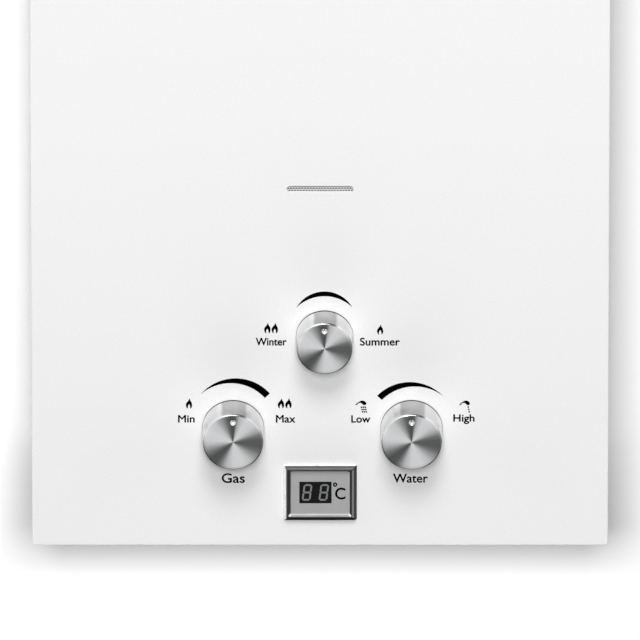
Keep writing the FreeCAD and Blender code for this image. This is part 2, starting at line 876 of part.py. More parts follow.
def chamber_coil():
    """Tube that rises at the right, goes once round the chamber and climbs to the first fin tube."""
    low, high = up(coil_low_level), up(coil_high_level)
    front_y, back_y = middle - coil_y, middle + coil_y
    points = [
        (coil_x, -riser_setback, low - 2 * coil_bend), (coil_x, -riser_setback, low), (coil_x, front_y, low),
        (-coil_x, front_y, low), (-coil_x, back_y, low), (coil_x, back_y, high), (coil_x, first_tube_y, high),
        (coil_x, first_tube_y, fin_middle - entry_bend),
    ]
    climb = bent_path(points, coil_bend)
    corner = FreeCAD.Vector(coil_x - entry_bend, first_tube_y, fin_middle - entry_bend)
    lean = entry_bend * math.sqrt(0.5)
    bend = Part.Arc(
        FreeCAD.Vector(coil_x, first_tube_y, fin_middle - entry_bend),
        corner + FreeCAD.Vector(lean, 0, lean),
        FreeCAD.Vector(coil_x - entry_bend, first_tube_y, fin_middle),
    ).toShape()
    path = Part.Wire(climb.Edges + [bend])
    return swept(path, tube_radius).cut(swept(path, tube_radius - tube_wall))


def riser_pipe():
    """Tube from the water valve's outlet to the coil."""
    points = [
        (water_knob_x, water_outlet_y, low_knob_z), (water_knob_x, -riser_setback, low_knob_z),
        (coil_x, -riser_setback, low_knob_z), (coil_x, -riser_setback, up(coil_low_level) - 2 * coil_bend),
    ]
    return pipe(points, pipe_bend, tube_radius, tube_wall)


def hot_pipe():
    """Tube from the last fin tube down to the hot outlet."""
    points = [
        (-(coil_x - entry_bend), last_tube_y, fin_middle), (hot_outlet_x, last_tube_y, fin_middle),
        (hot_outlet_x, last_tube_y, up(hot_pipe_level)), (hot_outlet_x, middle, up(hot_pipe_level)),
        (hot_outlet_x, middle, up(hot_port_top)),
    ]
    return pipe(points, pipe_bend, tube_radius, tube_wall)


# Burner

def burner_places():
    """The x of each burner bar."""
    first = -burner_pitch * (burner_count - 1) / 2
    return [first + k * burner_pitch for k in range(burner_count)]


def burner_bar(x):
    """One hollow sheet burner bar with a mouth for its nozzle, and flame ports along its top."""
    y0 = exchanger_front + nozzle_length + manifold_gap
    y1 = exchanger_back - sheet - burner_clearance
    half = burner_thickness / 2
    low = burner_bottom + sheet
    bar = box(x - half, x + half, y0, y1, low, burner_top)
    top_edges = [e for e in bar.Edges if e.BoundBox.YLength > burner_thickness and e.BoundBox.ZMin > low]
    bar = bar.makeFillet(burner_edge, top_edges)
    wall = burner_sheet
    hollow = box(x - half + wall, x + half - wall, y0 + wall, y1 - wall, low + wall, burner_top - burner_edge)
    port_half = half - burner_edge
    chimney = box(x - port_half, x + port_half, y0 + wall, y1 - wall, burner_top - 2 * burner_edge, burner_top - wall)
    mouth = rod_y(x, y0, y0 + 2 * wall, nozzle_z(), venturi_radius)
    first = y0 + port_inset
    pitch = (y1 - y0 - 2 * port_inset) / (port_count - 1)
    ports = [
        box(
            x - port_half, x + port_half, first + k * pitch - port_width / 2, first + k * pitch + port_width / 2,
            burner_top - 2 * wall, burner_top,
        )
        for k in range(port_count)
    ]
    return bar.cut([hollow, chimney, mouth] + ports)


def burner_bars():
    """The row of burner bars."""
    return group([burner_bar(x) for x in burner_places()])


def burner_frame():
    """Sheet frame round the burner bars, with a ledge under both ends of the bars."""
    half = exchanger_width / 2
    outer = box(-half, half, exchanger_front, exchanger_back, burner_bottom, burner_top)
    inner = box(
        -half + sheet, half - sheet, exchanger_front + sheet, exchanger_back - sheet, burner_bottom + sheet, burner_top
    )
    opening = box(
        -half + sheet, half - sheet, exchanger_front + burner_lip, exchanger_back - burner_lip,
        burner_bottom, burner_bottom + sheet,
    )
    mouth_z = burner_bottom + nozzle_height
    holes = [
        rod_y(x, exchanger_front - 1, exchanger_front + 2 * sheet, mouth_z, nozzle_hole_radius) for x in burner_places()
    ]
    return outer.cut([inner, opening] + holes)


def gas_manifold():
    """Bar that shares the gas among the nozzles, with an arm from the season valve."""
    back = exchanger_front - manifold_gap
    half = burner_pitch * (burner_count - 1) / 2 + nozzle_radius + 2 * manifold_end
    bar = box(-half, half, back - manifold_depth, back, season_block_top, season_block_top + manifold_rise)
    arm_half = season_block_half_width - manifold_end
    arm = box(
        season_knob_x - arm_half, season_knob_x + arm_half, back - manifold_depth, gas_body_back - manifold_end,
        season_block_top, season_block_top + manifold_arm,
    )
    bore = rod_x(-half + manifold_end, half - manifold_end, back - manifold_depth / 2, nozzle_z(), manifold_depth / 2 - manifold_end)
    feed_z = season_block_top + manifold_arm / 2
    feed = rod_y(season_knob_x, back - manifold_depth / 2, middle, feed_z, plug_port_radius)
    link = rod_z(season_knob_x, back - manifold_depth / 2, feed_z, nozzle_z(), plug_port_radius - manifold_end / 2)
    inlet = rod_z(season_knob_x, middle, season_block_top, feed_z, plug_port_radius)
    ports = [
        rod_y(x, back - manifold_depth / 2, back, nozzle_z(), nozzle_radius / 2) for x in burner_places()
    ]
    return bar.fuse(arm).cut([bore, feed, link, inlet] + ports)


def nozzle_z():
    """The height of the nozzles' axes."""
    return burner_bottom + nozzle_height


def gas_nozzles():
    """Brass nozzles on the manifold, one for each burner bar."""
    back = exchanger_front - manifold_gap
    nozzles = []
    for x in burner_places():
        nozzle = hex_y(x, back, back + manifold_gap - 0.3, nozzle_z(), 2 * nozzle_radius)
        nozzle = nozzle.fuse(rod_y(x, back, back + nozzle_length, nozzle_z(), nozzle_radius * 0.8))
        nozzles.append(nozzle.cut(rod_y(x, back, back + nozzle_length, nozzle_z(), nozzle_radius * 0.25)))
    return group(nozzles)


def electrode(x):
    """Ceramic tube through the chamber's front wall, with a steel pin in it."""
    outer_end = inner_front + pin_tail
    inner_end = exchanger_front + ceramic_length - pin_overhang
    ceramic = rod_y(x, exchanger_front - ceramic_length / 2, exchanger_front + ceramic_length / 2, window_z, ceramic_radius)
    ceramic = ceramic.cut(rod_y(x, exchanger_front - ceramic_length, exchanger_front + ceramic_length, window_z, pin_radius + run_gap))
    tip = burner_top + pin_rise
    path = bent_path([(x, outer_end, window_z), (x, inner_end, window_z), (x, inner_end, tip)], pin_bend)
    return group([ceramic, swept(path, pin_radius)])


def bracket(x, back_face, z):
    """Strap with two flanges, from the back plate to a piece whose rear is at back_face."""
    half = bracket_width / 2
    strap = box(x - half, x + half, back_face, plate_front, z, z + bracket_sheet)
    wall_flange = box(x - half, x + half, plate_front - bracket_sheet, plate_front, z, z + bracket_flange)
    piece_flange = box(x - half, x + half, back_face, back_face + bracket_sheet, z, z + bracket_flange)
    return strap.fuse([wall_flange, piece_flange]).removeSplitter()


def support_brackets():
    """Straps that hold the burner, the hood and the gas valve off the back plate."""
    hood_back = middle + hood_depth / 2
    straps = []
    for side in (-1, 1):
        straps.append(bracket(side * bracket_offset, exchanger_back, burner_bottom + bracket_flange))
        straps.append(bracket(side * bracket_offset / 2, hood_back, hood_bottom + bracket_flange))
    straps.append(bracket((gas_knob_x + season_knob_x) / 2, gas_body_back, low_knob_z))
    return group(straps)


# Gas valve

def gas_valve_body():
    """Die-cast body with the solenoid, gas plug and linkage valve in line, and the season plug above."""
    body = box(gas_body_left, gas_body_right, gas_body_front, gas_body_back, gas_body_low, gas_body_high)
    body = body.makeFillet(3.0, [e for e in body.Edges if e.BoundBox.XLength > gas_plug_length])
    block = box(
        season_knob_x - season_block_half_width, min(season_knob_x + season_block_half_width, gas_body_right),
        gas_body_front, gas_body_back - manifold_end, gas_body_high - 4.0, season_block_top,
    )
    body = body.fuse(block)
    cuts = [
        rod_x(gas_body_left, solenoid_seat, middle, low_knob_z, solenoid_cavity_radius),
        rod_x(solenoid_seat, gas_knob_x, middle, low_knob_z, plug_port_radius),
        rod_x(gas_knob_x, linkage_left, middle, low_knob_z, plug_port_radius),
        rod_x(linkage_left, seat_x, middle, low_knob_z, linkage_cavity_radius),
        rod_x(seat_x, gas_body_right - rod_wall, middle, low_knob_z, seat_radius),
        rod_x(seat_x, gas_body_right, middle, low_knob_z, push_rod_radius + run_gap),
        rod_y(gas_knob_x, gas_body_front, plug_bore_back, low_knob_z, gas_plug_radius),
        rod_y(season_knob_x, gas_body_front, plug_bore_back, season_knob_z, season_plug_radius),
        rod_z(season_knob_x, middle, low_knob_z, season_block_top, plug_port_radius),
        rod_z(gas_inlet_x, middle, gas_body_low, low_knob_z, port_bore_radius - 1.0),
    ]
    return body.cut(cuts)


def spindle(x, z, plug_radius, plug_back, gland_front):
    """Turning spindle: a valve plug at the rear, a shaft through the gland, and a flat for the knob."""
    shaft_start = gland_front + gland_length
    shaft = rod_y(x, spindle_tip, plug_back, z, spindle_radius)
    if plug_radius > spindle_radius:
        plug = rod_y(x, shaft_start + run_gap, plug_back, z, plug_radius - run_gap)
        shaft = shaft.fuse(plug)
        shaft = shaft.cut(rod_z(x, middle, z - plug_radius, z + plug_radius, plug_port_radius))
    flat = box(
        x - spindle_radius, x + spindle_radius, spindle_tip - 1, spindle_tip + spindle_flat_length,
        z - spindle_radius - 1, z - spindle_radius + spindle_flat,
    )
    return shaft.cut(flat).removeSplitter()


def gas_spindle():
    """Spindle that sets the gas."""
    return spindle(gas_knob_x, low_knob_z, gas_plug_radius, plug_bore_back - run_gap, gas_body_front - gland_length)


def season_spindle():
    """Spindle that opens the second half of the burner."""
    return spindle(
        season_knob_x, season_knob_z, season_plug_radius, plug_bore_back - run_gap, gas_body_front - gland_length
    )


def water_spindle():
    """Spindle that throttles the water."""
    return spindle(
        water_knob_x, low_knob_z, spindle_radius, middle - push_rod_radius * 4, water_boss_face - gland_length
    )


def gland_nuts():
    """Nuts that seal the three spindles."""
    nuts = []
    for x, z, face in (
        (gas_knob_x, low_knob_z, gas_body_front),
        (season_knob_x, season_knob_z, gas_body_front),
        (water_knob_x, low_knob_z, water_boss_face),
    ):
        nut = hex_y(x, face - gland_length, face, z, 2 * gland_radius * math.sqrt(0.75))
        nuts.append(nut.cut(rod_y(x, face - gland_length - 1, face + 1, z, spindle_radius + run_gap)))
    return group(nuts)


def solenoid_coil():
    """Safety valve's coil can, hollow for its plunger."""
    left = gas_body_left - solenoid_length
    can = rod_x(left, gas_body_left, middle, low_knob_z, solenoid_radius)
    can = can.makeFillet(1.5, [e for e in can.Edges if e.BoundBox.XMax < left + 0.1 and e.BoundBox.YLength > solenoid_radius])
    return can.cut(rod_x(left + solenoid_end, gas_body_left, middle, low_knob_z, plunger_radius + run_gap))


def solenoid_plunger():
    """Plunger with a sealing head that shuts the gas passage at rest."""
    head_right = solenoid_seat - seat_gap
    head = rod_x(head_right - plunger_head, head_right, middle, low_knob_z, plunger_head_radius)
    stem = rod_x(head_right - plunger_length, head_right, middle, low_knob_z, plunger_radius)
    return head.fuse(stem).removeSplitter()


def solenoid_spring():
    """Spring that pushes the plunger shut."""
    return spring_x(
        gas_body_left + side_gap / 3, solenoid_seat - seat_gap - plunger_head - side_gap / 3, middle, low_knob_z,
        solenoid_spring_radius, solenoid_spring_wire, solenoid_spring_turns,
    )


def linkage_spring():
    """Spring that shuts the linkage valve when no water flows."""
    return spring_x(
        linkage_left + side_gap / 3, seat_x - seat_gap - disc_thickness - side_gap / 3, middle, low_knob_z,
        linkage_spring_radius, linkage_spring_wire, linkage_spring_turns,
    )


# Water valve

def water_valve_body():
    """Brass body: a disc-shaped chamber with bosses for the spindle, the cold inlet and the outlet."""
    z = low_knob_z
    body = rod_x(water_left, water_right, middle, z, water_disc_radius)
    body = body.fuse([
        rod_y(water_knob_x, water_boss_face, middle, z, water_boss_radius),
        rod_y(water_knob_x, middle, water_outlet_y, z, water_boss_radius),
        rod_z(water_knob_x, middle, cold_port_top, z, water_inlet_boss_radius),
    ])
    for side in (-1, 1):
        body = body.fuse(rod_x(gas_body_right, water_left + 1, middle, z + side * bridge_offset, bridge_radius))
    cuts = [
        rod_x(water_right - water_cavity_depth, water_right, middle, z, water_cavity_radius),
        rod_x(water_left - 1, water_right, middle, z, push_rod_radius + run_gap),
        rod_y(water_knob_x, water_boss_face, middle - push_rod_radius * 4 + run_gap, z, spindle_radius + run_gap),
        rod_y(water_knob_x, middle + water_disc_radius / 2, water_outlet_y, z, water_bore_radius),
        rod_z(water_knob_x, middle, cold_port_top, z - water_disc_radius / 2, water_bore_radius),
    ]
    cuts += [screw_hole(*place) for place in valve_screw_places()]
    return body.cut(cuts).removeSplitter()


def diaphragm():
    """Rubber diaphragm clamped between the water valve's body and its cover."""
    disc = rod_x(water_right, diaphragm_right, middle, low_knob_z, water_disc_radius)
    return disc.cut([screw_hole(*place) for place in valve_screw_places()])


def water_valve_cover():
    """Brass cover with a low dome, and the boss of the drain plug."""
    z = low_knob_z
    cover = rod_x(diaphragm_right, diaphragm_right + water_flange, middle, z, water_disc_radius)
    dome = rod_x(diaphragm_right, diaphragm_right + water_dome_length, middle, z, water_dome_radius)
    end = diaphragm_right + water_dome_length
    dome = dome.makeFillet(5.0, [e for e in dome.Edges if e.BoundBox.XMin > end - 0.1 and e.BoundBox.YLength > water_dome_radius])
    boss_top = z - math.sqrt(water_dome_radius ** 2 - drain_offset_y ** 2)
    boss = rod_z(drain_x, drain_y, up(drain_boss_height), boss_top, drain_boss_radius)
    cover = cover.fuse([dome, boss])
    cuts = [
        rod_x(diaphragm_right, diaphragm_right + water_flange, middle, z, water_dome_radius - 4.0),
        rod_z(drain_x, drain_y, up(drain_boss_height), up(drain_boss_height + drain_bore_depth), drain_shank_radius + run_gap),
    ]
    return cover.cut(cuts + [screw_hole(*place) for place in valve_screw_places()])


def valve_screws():
    """Screws of the water valve's cover."""
    return group([screw(*place) for place in valve_screw_places()])


def push_rod():
    """Rod from the diaphragm's plate to the gas disc, with a collar that trips the micro switch."""
    z = low_knob_z
    plate_right = water_right - plate_gap
    disc_right = seat_x - seat_gap
    rod = rod_x(disc_right - disc_thickness, plate_right, middle, z, push_rod_radius)
    return rod.fuse([
        rod_x(plate_right - push_plate_thickness, plate_right, middle, z, push_plate_radius),
        rod_x(disc_right - disc_thickness, disc_right, middle, z, disc_radius),
        rod_x(collar_left(), collar_left() + collar_thickness, middle, z, collar_radius),
    ]).removeSplitter()


def collar_left():
    """The x of the collar's left flank, which the switch lever lies against."""
    return (gas_body_right + water_left) / 2


def lever_pivot():
    """The lever's pivot as (x, y): the lever's right face lies just left of the collar."""
    x = collar_left() - seat_gap - lever_thickness
    y = middle - push_rod_radius - 0.5 - lever_length
    return x, y


def micro_switch():
    """Switch body with two ears for its lever, on the gas valve's right face."""
    px, py = lever_pivot()
    z = low_knob_z
    back = py - lever_hub_radius - 0.5
    body = box(gas_body_right, gas_body_right + switch_width, back - switch_depth, back, z - switch_height / 2, z + switch_height / 2)
    foot = box(
        gas_body_right, gas_body_right + 2.0, back - switch_depth, gas_body_front + 4.0,
        z - switch_height / 2, z + switch_height / 2,
    )
    ear = 1.5
    for low in (z - switch_height / 2, z + switch_height / 2 - ear):
        body = body.fuse(box(px - 2.5, px + 2.5, back, py + lever_hub_radius + 0.5, low, low + ear))
    body = body.fuse(foot)
    return body.cut(rod_z(px, py, z - switch_height, z + switch_height, lever_pin_radius + run_gap)).removeSplitter()


def micro_switch_lever():
    """Lever that the push rod's collar swings."""
    px, py = lever_pivot()
    z = low_knob_z
    half = switch_height / 2 - 1.5 - 0.2
    blade = box(px, px + lever_thickness, py, py + lever_length, z - half, z + half)
    hub = rod_z(px, py, z - half, z + half, lever_hub_radius)
    pin = rod_z(px, py, z - switch_height / 2, z + switch_height / 2, lever_pin_radius)
    return blade.fuse([hub, pin]).removeSplitter()


# Connections and drain

def port(x, top):
    """Brass connection: an outside pipe thread below, a hexagon under the bottom plate, a body above."""
    hex_low = bottom_plate_low - port_hex_height
    thread_low = hex_low - thread_length
    body = turned_z(
        [
            (0, thread_low), (thread_radius - thread_chamfer, thread_low),
            (thread_radius, thread_low + thread_chamfer), (thread_radius, hex_low),
            (port_body_radius, hex_low), (port_body_radius, top), (0, top),
        ],
        x, middle,
    )
    body = body.fuse(hex_z(x, middle, hex_low, bottom_plate_low, port_hex))
    return body.cut(rod_z(x, middle, thread_low - 1, top + 1, port_bore_radius)).removeSplitter()


def gas_inlet():
    """Connection for the gas hose."""
    return port(gas_inlet_x, gas_body_low)


def cold_inlet():
    """Connection for cold water."""
    return port(water_knob_x, cold_port_top)


def hot_outlet():
    """Connection for hot water."""
    return port(hot_outlet_x, up(hot_port_top))


def drain_plug():
    """Hand screw that drains the water side, with a fluted head under the casing."""
    shoulder = up(drain_boss_height) - 2 * (seal_wire + seal_gap)
    head_top = bottom_plate_low - drain_head_drop
    head = rod_z(drain_x, drain_y, head_top - drain_head_length, head_top, drain_head_radius)
    flutes = []
    for k in range(drain_flutes):
        a = 2 * math.pi * k / drain_flutes
        x = drain_x + drain_head_radius * math.cos(a)
        y = drain_y + drain_head_radius * math.sin(a)
        flutes.append(rod_z(x, y, head_top - drain_head_length, head_top, drain_head_radius / drain_flutes))
    head = head.cut(flutes)
    return head.fuse([
        rod_z(drain_x, drain_y, head_top, shoulder, drain_neck_radius),
        rod_z(drain_x, drain_y, shoulder, shoulder + drain_shank_length, drain_shank_radius),
    ]).removeSplitter()


def drain_seal():
    """Rubber ring between the drain plug's shoulder and its boss."""
    z = up(drain_boss_height) - seal_wire - seal_gap
    radius = drain_shank_radius + run_gap + seal_wire
    return Part.makeTorus(radius, seal_wire, FreeCAD.Vector(drain_x, drain_y, z))


# Batteries

def battery_box():
    """Tray for two cells, open below, that stands through the bottom plate on a flange."""
    x0, x1 = box_x - box_inner_width / 2 - box_wall, box_right
    top = bottom_plate_high + box_inner_height + box_wall
    body = box(x0, x1, box_front, box_back, door_low, top)
    body = body.fuse(
        box(x0 - box_flange, x1 + box_flange, box_front - box_flange, box_back + box_flange,
            bottom_plate_high, bottom_plate_high + box_wall)
    )
    hollow = box(x0 + box_wall, x1 - box_wall, box_front + box_wall, box_back - box_wall, door_low, top - box_wall)
    pin_half = box_inner_width / 2 + box_wall - run_gap
    pins = rod_x(box_x - pin_half, box_x + pin_half, hinge_y, hinge_z, hinge_radius + run_gap)
    return body.cut([hollow, pins]).removeSplitter()


def battery_door():
    """Door under the cells, on two pins at its rear edge, with a ridge for a finger."""
    x0 = box_x - box_inner_width / 2 + door_gap
    x1 = box_x + box_inner_width / 2 - door_gap
    y0 = box_front + box_wall + door_gap
    door = box(x0, x1, y0, hinge_y, door_low, bottom_plate_high)
    edge = rod_x(x0, x1, hinge_y, hinge_z, min(hinge_edge_radius, door_thickness / 2))
    pin_half = box_inner_width / 2 + box_wall - 4 * run_gap
    pins = rod_x(box_x - pin_half, box_x + pin_half, hinge_y, hinge_z, hinge_radius)
    grip = box(
        box_x - door_grip_width / 2, box_x + door_grip_width / 2, y0 + 1.0, y0 + 1.0 + door_grip_depth,
        door_low - door_grip_rise, door_low,
    )
    return door.fuse([edge, pins, grip]).removeSplitter()


def batteries():
    """Two D cells side by side, each with a raised cap."""
    cells = []
    z = bottom_plate_high + cell_gap / 2 + cell_radius
    cap = 1.5
    for side in (-1, 1):
        x = box_x + side * (cell_radius + cell_gap / 3)
        y0 = box_y - cell_length / 2
        cell = rod_y(x, y0, y0 + cell_length - cap, z, cell_radius)
        cells.append(cell.fuse(rod_y(x, y0 + cell_length - cap, y0 + cell_length, z, cell_radius / 3)))
    return group(cells)


# Electrics

def ignition_controller():
    """Closed plastic box on the back plate."""
    body = box(
        controller_left, controller_right, controller_front, plate_front,
        up(controller_bottom), up(controller_bottom + controller_height),
    )
    return body.makeFillet(3.0, [e for e in body.Edges if e.BoundBox.YMax < controller_front + 0.1])


def electrode_leads():
    """Two leads, from the controller to the ignition electrode and to the flame sensor."""
    x_near = controller_left + lead_inset
    x_far = x_near + lead_inset
    start_y = controller_front
    start_z = up(controller_bottom + controller_height / 2)
    near_y = inner_front + near_lane
    far_y = inner_front + far_lane
    half_way = (start_z + window_z) / 2
    turn_y = middle - lead_reach
    ignition = [
        (x_near, start_y, start_z), (x_near, turn_y, start_z), (x_near, near_y, half_way + lead_stagger),
        (x_near, near_y, window_z), (electrode_offset + pin_radius + 2 * run_gap, near_y, window_z),
    ]
    low = window_z - lead_drop
    sensor = [
        (x_far, start_y, start_z), (x_far, turn_y, start_z), (x_far, far_y, half_way),
        (x_far, far_y, low), (-electrode_offset, far_y, low),
        (-electrode_offset, far_y, window_z - pin_radius - 2 * run_gap),
    ]
    return group([swept(bent_path(route, lead_bend), lead_radius) for route in (ignition, sensor)])


def overheat_switch():
    """Round thermal switch on the chamber's left wall."""
    wall = -exchanger_width / 2
    z = up(overheat_height)
    disc = rod_x(wall - switch_disc_thickness, wall, middle, z, switch_disc_radius)
    terminals = [
        box(wall - switch_disc_thickness - 6.0, wall - switch_disc_thickness, middle + s * 4 - 0.4, middle + s * 4 + 0.4, z - 2, z + 2)
        for s in (-1, 1)
    ]
    return disc.fuse(terminals)


def temperature_probe():
    """Clip with the display's probe, round the hot pipe."""
    z = up(probe_height)
    clip = rod_z(hot_outlet_x, last_tube_y, z, z + probe_length, probe_radius)
    bulb = rod_z(hot_outlet_x, last_tube_y - probe_radius - 1.5, z, z + probe_length, 3.0)
    return clip.fuse(bulb).cut(
        rod_z(hot_outlet_x, last_tube_y, z - 1, z + probe_length + 1, tube_radius + tube_seat_gap)
    ).removeSplitter()


# Window and display

def window_mesh():
    """Plate with three rows of small holes behind the window slot."""
    half = window_length / 2 + mesh_margin
    tall = window_width / 2 + mesh_margin
    plate = box(-half, half, inner_front, inner_front + mesh_thickness, window_z - tall, window_z + tall)
    per_row = int(window_length / mesh_pitch) + 1
    holes = []
    for row in range(mesh_rows):
        z = window_z + (row - (mesh_rows - 1) / 2) * mesh_row_pitch
        shift = (row % 2) * mesh_pitch / 2
        first = -mesh_pitch * (per_row - 1) / 2 + shift - mesh_pitch / 4
        for k in range(per_row):
            holes.append(rod_y(first + k * mesh_pitch, inner_front - 1, inner_front + 2, z, mesh_hole_radius))
    return plate.cut(holes)


def display_bezel():
    """Bright frame with a sleeve through the front panel."""
    outer_w, outer_t = display_width, display_tall
    ridge_w, ridge_t = outer_w - 2 * frame_slope, outer_t - 2 * frame_slope
    inner_w, inner_t = ridge_w - 2 * frame_land, ridge_t - 2 * frame_land
    ring = frustum_y(outer_w, outer_t, front, ridge_w, ridge_t, front - frame_rise, 0, display_z)
    funnel = frustum_y(
        frame_opening_width, frame_opening_tall, front - frame_step, inner_w, inner_t, front - frame_rise, 0, display_z
    )
    through = box(
        -frame_opening_width / 2, frame_opening_width / 2, front - frame_rise, front,
        display_z - frame_opening_tall / 2, display_z + frame_opening_tall / 2,
    )
    sleeve_w, sleeve_t = outer_w - 2 * sleeve_inset, outer_t - 2 * sleeve_inset
    sleeve = box(-sleeve_w / 2, sleeve_w / 2, front, front + sleeve_depth, display_z - sleeve_t / 2, display_z + sleeve_t / 2)
    pocket = box(
        -sleeve_w / 2 + sleeve_wall, sleeve_w / 2 - sleeve_wall, front - frame_step, front + sleeve_depth,
        display_z - sleeve_t / 2 + sleeve_wall, display_z + sleeve_t / 2 - sleeve_wall,
    )
    return ring.fuse(sleeve).cut([funnel, through, pocket]).removeSplitter()


def display_face():
    """Grey face plate with a cut-out for the digit module."""
    half_w = display_width / 2 - sleeve_inset - sleeve_wall - run_gap
    half_t = display_tall / 2 - sleeve_inset - sleeve_wall - run_gap
    y = front - frame_step
    plate = box(-half_w, half_w, y, y + face_thickness, display_z - half_t, display_z + half_t)
    return plate.cut(
        box(
            module_shift - module_width / 2 - run_gap, module_shift + module_width / 2 + run_gap, y - 1,
            y + face_thickness + 1, display_z - module_tall / 2 - run_gap, display_z + module_tall / 2 + run_gap,
        )
    )


def display_module():
    """Black block of the two digits, just below the face."""
    y = front - frame_step + module_sink
    return box(
        module_shift - module_width / 2, module_shift + module_width / 2, y, y + module_depth,
        display_z - module_tall / 2, display_z + module_tall / 2,
    )


def segment(x, z, length, upright):
    """One pointed bar of a digit, centred on x and z."""
    half = length / 2 - segment_gap
    w = segment_width / 2
    outline = [(-half, 0), (-half + w, w), (half - w, w), (half, 0), (half - w, -w), (-half + w, -w), (-half, 0)]
    y = front - frame_step + module_sink
    points = []
    for a, b in outline:
        dx, dz = (b, a) if upright else (a, b)
        points.append(FreeCAD.Vector(x + dx + digit_slant * (z + dz - display_z), y - segment_thickness, z + dz))
    return Part.Face(Part.makePolygon(points)).extrude(FreeCAD.Vector(0, segment_thickness, 0))


def display_segments():
    """The fourteen bars of two unlit digits."""
    bars = []
    reach_x = (digit_width - segment_width) / 2
    reach_z = (digit_height - segment_width) / 2
    for k in (-1, 1):
        x = module_shift + k * digit_pitch / 2
        for level in (-1, 0, 1):
            bars.append(segment(x, display_z + level * reach_z, 2 * reach_x, False))
        for side in (-1, 1):
            for level in (-1, 1):
                bars.append(segment(x + side * reach_x, display_z + level * reach_z / 2, reach_z, True))
    return group(bars)


def display_back():
    """Cap with the circuit board behind the digit module."""
    half_w = display_width / 2 - sleeve_inset
    half_t = display_tall / 2 - sleeve_inset
    y = front + sleeve_depth
    cap = box(-half_w, half_w, y, y + board_back_depth, display_z - half_t, display_z + half_t)
    module_back = front - frame_step + module_sink + module_depth
    post = box(-5.0, 5.0, module_back, y, display_z - 4.0, display_z + 4.0)
    return cap.fuse(post).removeSplitter()


def display_cable():
    """Cable from the display to the controller, under the knobs' spindles and over the battery box."""
    back = front + sleeve_depth + board_back_depth
    lane_y = back + cable_lane
    turn_x = box_x - box_inner_width / 2 - box_wall - box_flange - cable_box_gap
    over = bottom_plate_high + box_inner_height + box_wall + cable_over_box
    end_x = controller_left + cable_inset
    end_z = max(over, up(controller_bottom) + 2 * cable_bend)
    route = [
        (cable_start_x, back, display_z), (cable_start_x, lane_y, display_z), (turn_x, lane_y, display_z),
        (turn_x, lane_y, end_z), (end_x, lane_y, end_z), (end_x, controller_front, end_z),
    ]
    return swept(bent_path(route, cable_bend), cable_radius)


# Knobs

def knob(x, z, radius):
    """Turned aluminium knob: a slightly tapered cap with a hub for the spindle and a dimple that points up."""
    face_radius = radius - knob_taper
    profile = [
        (0, knob_face), (face_radius - knob_chamfer, knob_face), (face_radius, knob_face + knob_chamfer),
        (radius, knob_back - knob_chamfer), (radius - knob_chamfer / 2, knob_back),
        (radius - knob_wall, knob_back), (radius - knob_wall, knob_face + knob_floor),
        (knob_hub_radius, knob_face + knob_floor), (knob_hub_radius, knob_back), (0, knob_back),
    ]
    body = turned_y(profile, x, z)
    bore = rod_y(x, spindle_tip, knob_back + 1, z, spindle_radius + run_gap)
    flat_top = z - spindle_radius + spindle_flat - run_gap
    key = box(
        x - spindle_radius, x + spindle_radius, spindle_tip, spindle_tip + spindle_flat_length - 2 * run_gap,
        z - spindle_radius - 1, flat_top,
    )
    dimple = Part.makeSphere(dimple_radius, FreeCAD.Vector(x, knob_face - dimple_sink, z + radius - dimple_edge))
    return body.cut([bore.cut(key), dimple])


def gas_knob():
    """Left knob, which sets the gas."""
    return knob(gas_knob_x, low_knob_z, big_knob_radius)


def water_knob():
    """Right knob, which sets the water."""
    return knob(water_knob_x, low_knob_z, big_knob_radius)


def season_knob():
    """Upper knob, which switches between the two burner sizes."""
    return knob(season_knob_x, season_knob_z, small_knob_radius)


PARTS = [
    front_cover, back_plate, bottom_plate, cover_screws,
    flue_collar, flue_flange, collar_screws, exhaust_hood,
    exchanger_fins, exchanger_tubes, combustion_chamber, sight_glass, chamber_coil, riser_pipe, hot_pipe,
    burner_bars, burner_frame, gas_manifold, gas_nozzles, support_brackets,
    gas_valve_body, gas_spindle, season_spindle, water_spindle, gland_nuts,
    solenoid_coil, solenoid_plunger, solenoid_spring, linkage_spring,
    water_valve_body, diaphragm, water_valve_cover, valve_screws, push_rod, micro_switch, micro_switch_lever,
    gas_inlet, cold_inlet, hot_outlet, drain_plug, drain_seal,
    battery_box, battery_door, batteries,
    ignition_controller, electrode_leads, overheat_switch, temperature_probe,
    window_mesh, display_bezel, display_face, display_module, display_segments, display_back, display_cable,
    gas_knob, water_knob, season_knob,
]


def main():
    """Writes one STEP file for each piece."""
    os.makedirs("parts", exist_ok=True)
    pieces = [(maker.__name__, maker()) for maker in PARTS]
    pieces.append(("ignition_electrode", electrode(electrode_offset)))
    pieces.append(("flame_sensor", electrode(-electrode_offset)))
    for name, shape in pieces:
        shape.exportStep(os.path.join("parts", name + ".step"))


main()
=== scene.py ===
import json
import math

